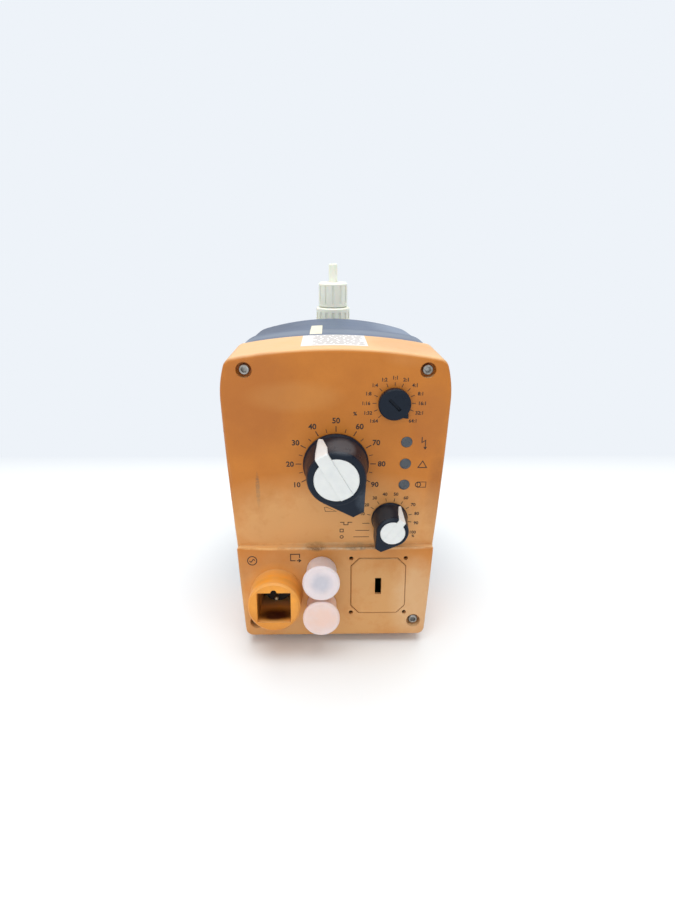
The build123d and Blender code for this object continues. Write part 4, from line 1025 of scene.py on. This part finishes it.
@dataclass
class Studio:
    """Camera, soft lights and the pale ground under the pump.

    Attributes:
        camera_mm: place of the camera.
        turns: its turns in degrees about its own axes, one after the other.
        lens_mm: focal length.
        sensor_mm: width of the sensor.
        near_mm: nearest distance that it sees.
        sky_colour: colour of the surround's light.
        sky: strength of that light.
        wall_colour: colour of the surround where it is seen.
        wall_from_mm: Y where the ground starts to turn into the surround.
        wall_to_mm: Y where it has turned into it.
        floor_colour: colour of the ground.
        floor_roughness: its gloss.
        floor_shine: strength of its surface reflection.
        floor_half_mm: half its side.
        floor_thick_mm: its thickness.
        pool_from_mm: distance from the origin where it starts to turn, to all sides.
        pool_to_mm: distance where it has turned.
        aim_mm: point that the lights face.
        lamps: the soft lights.
    """

    camera_mm: Place = (-4.45, -314.1, 207.4)
    turns: tuple[tuple[float, str], ...] = (
        (90.0, "X"), (-1.302, "Y"), (-22.387, "X"), (0.361, "Z"),
    )
    lens_mm: float = 20.0
    sensor_mm: float = 36.0
    near_mm: float = 10.0
    sky_colour: str = "F3F4F5"
    sky: float = 0.60
    wall_colour: str = "EEF3F9"
    wall_from_mm: float = 84.0
    wall_to_mm: float = 174.0
    floor_colour: str = "F8FBFC"
    floor_roughness: float = 0.9
    floor_shine: float = 0.1
    floor_half_mm: float = 6000.0
    floor_thick_mm: float = 5.0
    pool_from_mm: float = 260.0
    pool_to_mm: float = 520.0
    aim_mm: Place = (0.0, -20.0, 100.0)
    lamps: tuple[Softbox, ...] = (
        Softbox("top_softbox", (0.0, 40.0, 940.0), 1000.0, 8.3),
        Softbox("front_softbox", (-250.0, -900.0, 420.0), 900.0, 1.75),
    )

    def camera(self) -> None:
        """Puts the camera in place and makes it the scene's."""
        data = bpy.data.cameras.new("view")
        data.lens = self.lens_mm
        data.sensor_width = self.sensor_mm
        data.clip_start = self.near_mm * MM
        made = linked("view", data)
        place = Matrix.Translation([v * MM for v in self.camera_mm])
        for angle, axis in self.turns:
            place = place @ Matrix.Rotation(math.radians(angle), 4, axis)
        made.matrix_world = place
        bpy.context.scene.camera = made

    @staticmethod
    def looked_at(tree: Tree) -> Socket:
        """A share of 1 where a ray from the camera, a mirror or glass arrives, else 0."""
        path = add(tree, "ShaderNodeLightPath").outputs
        plain = add(
            tree,
            "ShaderNodeMath",
            {"operation": "MAXIMUM"},
            {0: path["Is Camera Ray"], 1: path["Is Glossy Ray"]},
        )
        both = add(
            tree,
            "ShaderNodeMath",
            {"operation": "MAXIMUM"},
            {0: plain.outputs[0], 1: path["Is Transmission Ray"]},
        )
        return both.outputs[0]

    def world(self) -> None:
        """A pale surround: dimmer as light, full where it is seen or mirrored."""
        world = bpy.data.worlds.new("surround")
        bpy.context.scene.world = world
        world.use_nodes = True
        tree = world.node_tree
        tree.nodes.clear()
        light = add(
            tree,
            "ShaderNodeBackground",
            {"Color": linear(self.sky_colour), "Strength": self.sky},
        )
        seen = add(
            tree,
            "ShaderNodeBackground",
            {"Color": linear(self.wall_colour), "Strength": 1.0},
        )
        mixed = add(
            tree,
            "ShaderNodeMixShader",
            {},
            {0: self.looked_at(tree), 1: light.outputs[0], 2: seen.outputs[0]},
        )
        add(tree, "ShaderNodeOutputWorld", {}, {"Surface": mixed.outputs[0]})

    def card(self) -> bpy.types.Material:
        """The ground's finish: pale card that turns into the surround where it is seen.

        The surround's share grows with Y behind the pump and with the distance from the
        origin round it, so the shadow under the pump stays.
        """
        made = bpy.data.materials.new("pale_card")
        made.use_nodes = True
        tree = made.node_tree
        shader = tree.nodes["Principled BSDF"]
        place = add(tree, "ShaderNodeTexCoord").outputs["Object"]
        parts = add(tree, "ShaderNodeSeparateXYZ", {}, {0: place})
        far = add(
            tree,
            "ShaderNodeMapRange",
            {"From Min": self.wall_from_mm * MM, "From Max": self.wall_to_mm * MM},
            {"Value": parts.outputs["Y"]},
        )
        length = add(tree, "ShaderNodeVectorMath", {"operation": "LENGTH"}, {0: place})
        away = add(
            tree,
            "ShaderNodeMapRange",
            {"From Min": self.pool_from_mm * MM, "From Max": self.pool_to_mm * MM},
            {"Value": length.outputs["Value"]},
        )
        beyond = add(
            tree,
            "ShaderNodeMath",
            {"operation": "MAXIMUM"},
            {0: far.outputs[0], 1: away.outputs[0]},
        )
        share = add(
            tree,
            "ShaderNodeMath",
            {"operation": "MULTIPLY"},
            {0: beyond.outputs[0], 1: self.looked_at(tree)},
        )
        near, wall = linear(self.floor_colour), linear(self.wall_colour)
        colour = add(
            tree,
            "ShaderNodeMix",
            {"data_type": "RGBA", UNDER: near, OVER: wall},
            {SHARE: far.outputs[0]},
        )
        glow = add(
            tree, "ShaderNodeEmission", {"Strength": 1.0}, {"Color": colour.outputs[MIXED]}
        )
        mixed = add(
            tree,
            "ShaderNodeMixShader",
            {},
            {0: share.outputs[0], 1: shader.outputs[0], 2: glow.outputs[0]},
        )
        tree.links.new(mixed.outputs[0], tree.nodes["Material Output"].inputs["Surface"])
        shader.inputs["Base Color"].default_value = near
        shader.inputs["Roughness"].default_value = self.floor_roughness
        shader.inputs["Specular IOR Level"].default_value = self.floor_shine
        return made

    def ground(self) -> None:
        """A flat square of card, centred on the origin, with its top at Z = 0."""
        across = np.linspace(-self.floor_half_mm, self.floor_half_mm, 5)
        x, y = np.meshgrid(across, across, indexing="ij")
        top = np.stack([x, y, np.zeros_like(x)], axis=-1) * MM
        under = top - np.array([0, 0, self.floor_thick_mm * MM])
        points, faces = closed_sheet(top, under)
        data = bpy.data.meshes.new("ground")
        data.from_pydata(points.tolist(), [], faces)
        data.materials.append(self.card())
        linked("ground", data)

    def build(self) -> None:
        """Builds camera, surround, ground and lights."""
        self.camera()
        self.world()
        self.ground()
        for lamp in self.lamps:
            lamp.hang(self.aim_mm)


@dataclass
class Housing:
    """Hood, rear housing, gasket, screws and the two films on the top.

    Attributes:
        crown_mm: height of the arched top's middle above the axis.
        arch_radius_mm: radius of the arch over hood and belt.
        belt_end_mm: depth where the belt ends and the drum starts.
        drum_step_mm: how much lower the drum is than the belt.
        drum_sink_mm: how much lower still its middle is at the rear.
        drum_arch_mm: radius of the arch at its rear.
        film_mm: half the thickness of a film.
        label_x_mm: left and right edge of the type label.
        label_depth_mm: its front and rear edge.
        tag_x_mm: left and right edge of the date tag.
        tag_depth_mm: its front and rear edge.
        rule_indents_mm: start of each row of rules, from the label's left edge.
        rule_margin_mm: first and last row, from the label's front and rear edge.
        rule_stop_mm: no rule starts this close to the label's right edge.
        rule_end_mm: and none reaches closer than this.
        rule_short_mm: length of the shortest rule.
        rule_long_mm: length of the longest.
        rule_height_mm: height of a rule.
        rule_gap_mm: gap between two rules.
        rule_lift: how much higher a rule lies than the label, in half thicknesses.
    """

    crown_mm: float = 58.0
    arch_radius_mm: float = 250.0
    belt_end_mm: float = 58.7
    drum_step_mm: float = 0.9
    drum_sink_mm: float = 0.4
    drum_arch_mm: float = 150.0
    film_mm: float = 0.12
    label_x_mm: Point = (-16.9, 15.3)
    label_depth_mm: Point = (7.9, 37.2)
    tag_x_mm: Point = (-13.6, -7.0)
    tag_depth_mm: Point = (41.0, 78.0)
    rule_indents_mm: tuple[float, ...] = (5.5, 6.9, 5.5, 5.5, 7.5, 5.5, 5.5, 6.5, 5.5)
    rule_margin_mm: float = 3.0
    rule_stop_mm: float = 3.5
    rule_end_mm: float = 1.5
    rule_short_mm: float = 1.8
    rule_long_mm: float = 4.5
    rule_height_mm: float = 0.85
    rule_gap_mm: float = 0.9
    rule_lift: float = 0.6

    def top(self, x: np.ndarray, depth: np.ndarray) -> np.ndarray:
        """Height of the arched top: an arc about an axis along Y over hood and belt.

        Behind the belt it is a step lower, and runs straight from a slimmer arc at the
        drum's front to a rounder and lower one at its rear.

        Args:
            x: to the right.
            depth: behind the panel.

        Returns:
            The height in millimetres.
        """
        drum_end = box_mm("rear_housing")[1][1] - PANEL_Y_MM
        arch, drum_arch, step = self.arch_radius_mm, self.drum_arch_mm, self.drum_step_mm
        crown = AXIS_HEIGHT_MM + self.crown_mm
        whole = crown - arch + np.sqrt(arch**2 - x**2)
        front = crown - arch + np.sqrt((arch - step) ** 2 - x**2)
        rear = crown - self.drum_sink_mm - drum_arch + np.sqrt((drum_arch - step) ** 2 - x**2)
        along = (depth - self.belt_end_mm) / (drum_end - self.belt_end_mm)
        return np.where(along < 0, whole, front + (rear - front) * along)

    def film(
        self, across: Point, along: Point, lift: float = 0.0, counts: tuple[int, int] = (24, 40)
    ) -> Mesh:
        """A thin film that lies on the top over a rectangle of x and depth.

        Args:
            across: its left and right edge.
            along: its front and rear edge, behind the panel.
            lift: its middle's height above the top.
            counts: points across and along.

        Returns:
            The film in metres in the frame.
        """
        x, depth = np.meshgrid(
            np.linspace(*across, counts[0]), np.linspace(*along, counts[1]), indexing="ij"
        )
        y, height = depth + PANEL_Y_MM, self.top(x, depth) + lift
        upper = np.stack([x, y, height + self.film_mm], axis=-1)
        lower = np.stack([x, y, height - self.film_mm], axis=-1)
        return closed_sheet(upper * MM, lower * MM)

    def rules(self) -> Mesh:
        """Broken grey rules in rows on the type film, where its entries would stand.

        Part n of row i is short + (long - short) * ((7 i + 5 n) mod 4) / 3 long, which
        looks irregular and comes out the same each time.
        """
        front, rear = self.label_depth_mm
        left, right = self.label_x_mm
        levels = np.linspace(
            front + self.rule_margin_mm, rear - self.rule_margin_mm, len(self.rule_indents_mm)
        )
        spread = self.rule_long_mm - self.rule_short_mm
        bars = []
        for row, (level, indent) in enumerate(zip(levels, self.rule_indents_mm)):
            x = left + indent
            part = 0
            while x < right - self.rule_stop_mm:
                length = self.rule_short_mm + spread * ((row * 7 + part * 5) % 4) / 3
                end = min(x + length, right - self.rule_end_mm)
                along = (level, level + self.rule_height_mm)
                bars.append(self.film((x, end), along, self.film_mm * self.rule_lift, (4, 2)))
                x = end + self.rule_gap_mm
                part += 1
        return joined(bars)

    def build(self) -> None:
        """Builds the films and dresses the housing."""
        label = self.film(self.label_x_mm, self.label_depth_mm)
        tag = self.film(self.tag_x_mm, self.tag_depth_mm)
        piece("type_label_film", label, PAPER)
        piece("type_label_rules", self.rules(), GREY_INK)
        piece("date_tag_film", tag, CREAM)
        dress(HOOD, "front_hood", "knock_out_cover")
        dress(HOUSING, "rear_housing")
        dress(SEAL, "housing_gasket")
        dress(STEEL, "hood_screws", "board_screws", "head_screws", "head_washers")


@dataclass
class OperatorPanel:
    """Dials, lamps, knobs and the print around them.

    Places on the panel are right of and above the stroke dial's middle. A pair or triple
    named for ticks holds their inner radius first.

    Attributes:
        panel: the panel's face.
        ink_mm: thickness of the print.
        bold_mm: width of a bold tick.
        fine_mm: width of a fine tick.
        stroke_values: per cents that have a tick on the stroke dial.
        stroke_middle: the value at its top.
        degrees_per_cent: its turn for one per cent.
        stroke_ticks_mm: radii of its ticks, the fine ones' outer one before the bold ones'.
        stroke_figures_mm: radius of its figures.
        stroke_figure_mm: height of its figures.
        stroke_unit: place and height of its per cent sign.
        stroke_wedge: the wedge under it.
        ratio_powers: powers of two on the pulse dial.
        ratio_degrees: its turn for one power.
        ratio_ticks_mm: radii of its ticks.
        ratio_figures_mm: how far its figures stand out sideways and upwards.
        small_figure_mm: height of the figures on the two small dials.
        tens: how many tens the function dial has.
        function_first_degrees: angle of its first ten.
        function_degrees: its turn for one ten.
        function_ticks_mm: radii of its ticks.
        function_figures_mm: radius of its figures, and of the widest, the last.
        function_unit: place and height of its per cent sign.
        function_signs: three leaders, then the three plain marks at their ends.
        lamp_sign_x_mm: place of the signs beside the lamps.
        fault_sign: zig-zag arrow.
        warning_sign: triangle.
        run_sign: pump.
    """

    panel: Ground = Ground(tuple(PANEL_MM.tolist()), (0.0, 0.0, 1.0), (0.0, -1.0, 0.0))
    ink_mm: float = 0.06
    bold_mm: float = 0.42
    fine_mm: float = 0.30

    stroke_values: range = range(10, 91, 5)
    stroke_middle: int = 50
    degrees_per_cent: float = 3.0
    stroke_ticks_mm: tuple[float, float, float] = (17.3, 19.2, 20.2)
    stroke_figures_mm: float = 23.1
    stroke_figure_mm: float = 2.7
    stroke_unit: tuple[float, float, float] = (9.2, 26.6, 1.8)
    stroke_wedge: Stroke = Stroke(
        ((-5.9, -24.9), (-4.9, -24.6), (0.4, -27.2), (-5.4, -27.2)), 0.25, True
    )

    ratio_powers: range = range(-6, 7)
    ratio_degrees: float = 22.5
    ratio_ticks_mm: Point = (8.6, 10.4)
    ratio_figures_mm: Point = (13.6, 12.6)
    small_figure_mm: float = 1.7

    tens: int = 10
    function_first_degrees: float = -78.75
    function_degrees: float = 22.5
    function_ticks_mm: Point = (10.2, 12.0)
    function_figures_mm: Point = (14.6, 15.4)
    function_unit: tuple[float, float, float] = (41.6, -42.4, 1.5)
    function_signs: tuple[Stroke, ...] = (
        Stroke(((14.2, -34.5), (18.0, -34.5)), 0.30),
        Stroke(((10.6, -38.8), (18.0, -38.8)), 0.30),
        Stroke(((9.6, -42.8), (18.0, -42.8)), 0.30),
        Stroke(
            ((2.4, -33.8), (4.4, -33.8), (4.4, -35.3), (6.6, -35.3), (6.6, -33.8), (8.8, -33.8)),
            0.40,
        ),
        Stroke(((2.4, -38.0), (2.4, -39.7), (4.1, -39.7), (4.1, -38.0)), 0.40, True),
        Stroke(circle(3.3, -42.8, 0.85, 16), 0.40, True),
    )

    lamp_sign_x_mm: float = 43.6
    fault_sign: tuple[Stroke, ...] = (
        Stroke(((-0.9, 2.7), (-0.9, -0.2), (0.9, 0.9), (0.9, -3.6)), 0.42),
        Stroke(((0.2, -2.6), (0.9, -3.7), (1.6, -2.6)), 0.42),
    )
    warning_sign: tuple[Stroke, ...] = (
        Stroke(((0.2, 1.5), (2.4, -2.1), (-2.0, -2.1)), 0.42, True),
    )
    run_sign: tuple[Stroke, ...] = (
        Stroke(((-1.6, 1.5), (2.7, 1.5), (2.7, -1.5), (-1.6, -1.5)), 0.3, True),
        Stroke(circle(-1.3, 0.0, 1.35, 20), 0.42, True),
    )

    @staticmethod
    def around(centre: Point, angle: float, radius: float) -> Point:
        """The point at an angle clockwise from the top and a radius from a centre."""
        turn = math.radians(angle)
        return centre[0] + radius * math.sin(turn), centre[1] + radius * math.cos(turn)

    def tick(self, centre: Point, angle: float, ends: Point, width: float) -> Mesh:
        """A short radial line between two radii."""
        return line([self.around(centre, angle, radius) for radius in ends], width)

    def stroke_scale(self) -> list[Mesh]:
        """The stroke dial: a tick every five per cent, bold with figures every ten."""
        centre = (0.0, 0.0)
        inner, short, long = self.stroke_ticks_mm
        marks = []
        for value in self.stroke_values:
            angle = (value - self.stroke_middle) * self.degrees_per_cent
            if value % 10:
                marks.append(self.tick(centre, angle, (inner, short), self.fine_mm))
                continue
            marks.append(self.tick(centre, angle, (inner, long), self.bold_mm))
            x, y = self.around(centre, angle, self.stroke_figures_mm)
            marks.append(lettering(str(value), x, y, self.stroke_figure_mm))
        marks.append(lettering("%", *self.stroke_unit))
        marks.append(self.stroke_wedge.mesh())
        return marks

    def ratio_scale(self) -> list[Mesh]:
        """The pulse dial: thirteen ratios from 1:64 by 1:1 to 64:1, on a flat ellipse."""
        centre = on_panel("pulse_select")
        marks = []
        for power in self.ratio_powers:
            angle = power * self.ratio_degrees
            marks.append(self.tick(centre, angle, self.ratio_ticks_mm, self.fine_mm))
            ratio = f"{2**power}:1" if power > 0 else f"1:{2**-power}"
            x, y = self.around((0.0, 0.0), angle, 1.0)
            x = centre[0] + self.ratio_figures_mm[0] * x
            y = centre[1] + self.ratio_figures_mm[1] * y
            marks.append(lettering(ratio, x, y, self.small_figure_mm))
        return marks

    def function_scale(self) -> list[Mesh]:
        """The function dial: 10 to 100 round it, then three plain marks with leaders."""
        centre = on_panel("function_select")
        near, far = self.function_figures_mm
        marks = []
        for ten in range(self.tens):
            angle = self.function_first_degrees + ten * self.function_degrees
            marks.append(self.tick(centre, angle, self.function_ticks_mm, self.fine_mm))
            x, y = self.around(centre, angle, near if ten < self.tens - 1 else far)
            marks.append(lettering(str(10 * (ten + 1)), x, y, self.small_figure_mm))
        marks.append(lettering("%", *self.function_unit))
        return marks + [stroke.mesh() for stroke in self.function_signs]

    def lamp_signs(self) -> list[Mesh]:
        """Zig-zag arrow, triangle and pump sign, each level with its lamp."""
        signs = {
            "fault_lamp": self.fault_sign,
            "warning_lamp": self.warning_sign,
            "run_lamp": self.run_sign,
        }
        return [
            stroke.mesh(self.lamp_sign_x_mm, lamp_level(lamp))
            for lamp, sign in signs.items()
            for stroke in sign
        ]

    def build(self) -> None:
        """Prints the scales and dresses knobs, lamps and boards."""
        prints = {
            "stroke_scale_print": self.stroke_scale(),
            "pulse_scale_print": self.ratio_scale(),
            "function_scale_print": self.function_scale(),
            "lamp_sign_print": self.lamp_signs(),
        }
        for name, marks in prints.items():
            piece(name, self.panel.place(joined(marks), self.ink_mm), INK)
        dress(KNOB, "stroke_knob", "function_knob", "pulse_selector")
        dress(KNOB_CAP, "stroke_knob_cap", "function_knob_cap")
        dress(LENS, "run_lamp", "warning_lamp", "fault_lamp")
        dress(BOARD, "control_board", "power_board")
        dress(COMPONENT, "board_parts", "power_parts")
        dress(COMPONENT, "pulse_switch", "function_switch", "function_shaft")


@dataclass
class ConnectorSection:
    """Mains inlet, signal sockets, their caps and the signs above them.

    The signs lie on the section's tilted face, and their places are right of and above
    the middle of its upper edge.

    Attributes:
        ledge_drop_mm: how far that edge lies below the stroke axis.
        ledge_step_mm: how far it stands proud of the panel.
        ink_mm: thickness of the print.
        sign_mm: width of the signs' lines.
        mains_at: place of the mains sign.
        mains_ring: its circle's radius and number of corners.
        mains_wave: half length, height and number of points of the wave in it.
        input_at: place of the input sign.
        input_box: its open box.
        input_arrow: the arrow's shaft.
        input_head: the arrow's head.
    """

    ledge_drop_mm: float = 47.8
    ledge_step_mm: float = 2.7
    ink_mm: float = 0.06
    sign_mm: float = 0.48
    mains_at: Point = (-44.7, -7.25)
    mains_ring: tuple[float, int] = (2.45, 28)
    mains_wave: tuple[float, float, int] = (1.4, 0.8, 13)
    input_at: Point = (-21.7, -5.65)
    input_box: tuple[Point, ...] = (
        (0.2, -1.7), (-2.4, -1.7), (-2.4, 2.0), (2.4, 2.0), (2.4, -0.2),
    )
    input_arrow: tuple[Point, ...] = ((0.9, -1.7), (2.9, -1.7))
    input_head: tuple[Point, ...] = ((1.9, -0.8), (3.0, -1.7), (1.9, -2.6))

    def face(self) -> Ground:
        """The section's face, which the mains inlet stands square to."""
        edge = (0.0, PANEL_Y_MM - self.ledge_step_mm, AXIS_HEIGHT_MM - self.ledge_drop_mm)
        out = MOUNTS["mains_inlet"]["axis"]
        return Ground(edge, (0.0, out[2], -out[1]), tuple(out))

    def signs(self) -> Mesh:
        """A circle with a wave for the mains, an open box with an arrow for the input."""
        half, height, count = self.mains_wave
        wave = np.linspace(-1.0, 1.0, count)
        sine = tuple(zip(half * wave, height * np.sin(wave * math.pi)))
        radius, corners = self.mains_ring
        mains = (
            Stroke(circle(0.0, 0.0, radius, corners), self.sign_mm, True),
            Stroke(sine, self.sign_mm),
        )
        paths = (self.input_box, self.input_arrow, self.input_head)
        return joined(
            [stroke.mesh(*self.mains_at) for stroke in mains]
            + [Stroke(path, self.sign_mm).mesh(*self.input_at) for path in paths]
        )

    def build(self) -> None:
        """Prints the signs and dresses the connectors."""
        signs = self.face().place(self.signs(), self.ink_mm)
        piece("section_sign_print", signs, INK)
        dress(DUST_CAP, "control_socket_cap", "level_socket_cap")
        dress(INSERT, "mains_insert", "control_socket", "level_socket")
        dress(CONTACT, "mains_pins", "socket_contacts")


@dataclass
class LiquidEnd:
    """Dosing head, valves and bleed valve.

    Attributes:
        valves: the two sides' names, which the names of their nodes begin with.
        polymer_parts: how the names of each side's white nodes end.
    """

    valves: tuple[str, str] = ("discharge", "suction")
    polymer_parts: tuple[str, ...] = ("valve_body", "valve_seat", "union_nut", "hose_nozzle")

    def build(self) -> None:
        """Dresses the liquid end."""
        dress(LIQUID_END, "head_disc", "dosing_head", "bleed_spindle", "bleed_nozzle")
        dress(KNOB, "bleed_knob")
        for side in self.valves:
            dress(LIQUID_END, *(f"{side}_{part}" for part in self.polymer_parts))
            dress(SEAL, f"{side}_valve_seals")
            dress(BALL, f"{side}_valve_ball")


@dataclass
class Drive:
    """Solenoid, armature and spindle, with the spring and diaphragm that the stroke presses.

    Attributes:
        spring_wire_mm: radius of the spring's wire.
        spring_turns: number of its turns.
        rod_bore_mm: radius of the bore that the pressure rod's end sits in.
        rod_bore_depth_mm: depth of that bore.
        core_radius_mm: radius of the diaphragm's core.
        core_chamfer_mm: chamfer at the core's end.
        core_flare_mm: flare from the core to the membrane.
        membrane_mm: thickness of the membrane.
        rim_chamfer_mm: chamfer round the membrane.
    """

    spring_wire_mm: float = 0.8
    spring_turns: float = 5.0
    rod_bore_mm: float = 2.63
    rod_bore_depth_mm: float = 5.4
    core_radius_mm: float = 8.0
    core_chamfer_mm: float = 0.4
    core_flare_mm: float = 0.8
    membrane_mm: float = 2.0
    rim_chamfer_mm: float = 0.3

    def pressed(self, made: bpy.types.Object, node: str) -> None:
        """Lets a piece stand for a CAD node: hides the node and gives the piece its own mesh.

        Args:
            made: the piece.
            node: name of the node.
        """
        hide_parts(node)
        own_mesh(made)

    def spring(self) -> None:
        """Winds the return spring in its pocket."""
        low, high = box_mm("return_spring")
        wire = self.spring_wire_mm
        radius = (high[0] - low[0]) / 2 - wire
        ends = (low[1] + wire, high[1] - wire)
        points, faces = coiled(radius, wire, ends, self.spring_turns, AXIS_HEIGHT_MM)
        coil = (points * MM, faces)
        made = piece("return_spring_coil", coil, STEEL, smooth=True)
        self.pressed(made, "return_spring")

    def diaphragm(self) -> None:
        """Turns the diaphragm: a bored core behind a thin membrane."""
        low, high = box_mm("diaphragm")
        rear, front, rim = high[1] - self.membrane_mm, high[1], high[0]
        core, bore = self.core_radius_mm, self.rod_bore_mm
        bottom = low[1] + self.rod_bore_depth_mm
        profile = [
            (0.0, bottom),
            (bore, bottom),
            (bore, low[1]),
            (core - self.core_chamfer_mm, low[1]),
            (core, low[1] + self.core_chamfer_mm),
            (core, rear - self.core_flare_mm),
            (core + self.core_flare_mm, rear),
            (rim - self.rim_chamfer_mm, rear),
            (rim, rear + self.rim_chamfer_mm),
            (rim, front - self.rim_chamfer_mm),
            (rim - self.rim_chamfer_mm, front),
            (core, front),
            (0.0, front),
        ]
        points, faces = turned(profile, AXIS_HEIGHT_MM)
        shape = (points * MM, faces)
        made = piece("diaphragm_membrane", shape, DIAPHRAGM)
        self.pressed(made, "diaphragm")

    def build(self) -> None:
        """Makes the pressed pieces and dresses the drive."""
        self.spring()
        self.diaphragm()
        dress(IRON, "solenoid_shell", "solenoid_cover", "pole_piece", "armature")
        dress(IRON, "pressure_rod")
        dress(COPPER, "coil_winding")
        dress(INSERT, "coil_bobbin")
        dress(BRONZE, "guide_bushes", "spindle_bush")
        dress(STEEL, "stroke_spindle", "return_spring")
        dress(DIAPHRAGM, "diaphragm")


def main() -> None:
    """Builds the scene in order."""
    logging.basicConfig(level=logging.INFO)
    bpy.context.scene.view_settings.view_transform = "Standard"
    for part in (
        Studio(), Housing(), OperatorPanel(), ConnectorSection(), LiquidEnd(), Drive()
    ):
        part.build()
        LOG.info("built %s", type(part).__name__)


if __name__ == "__main__":
    main()
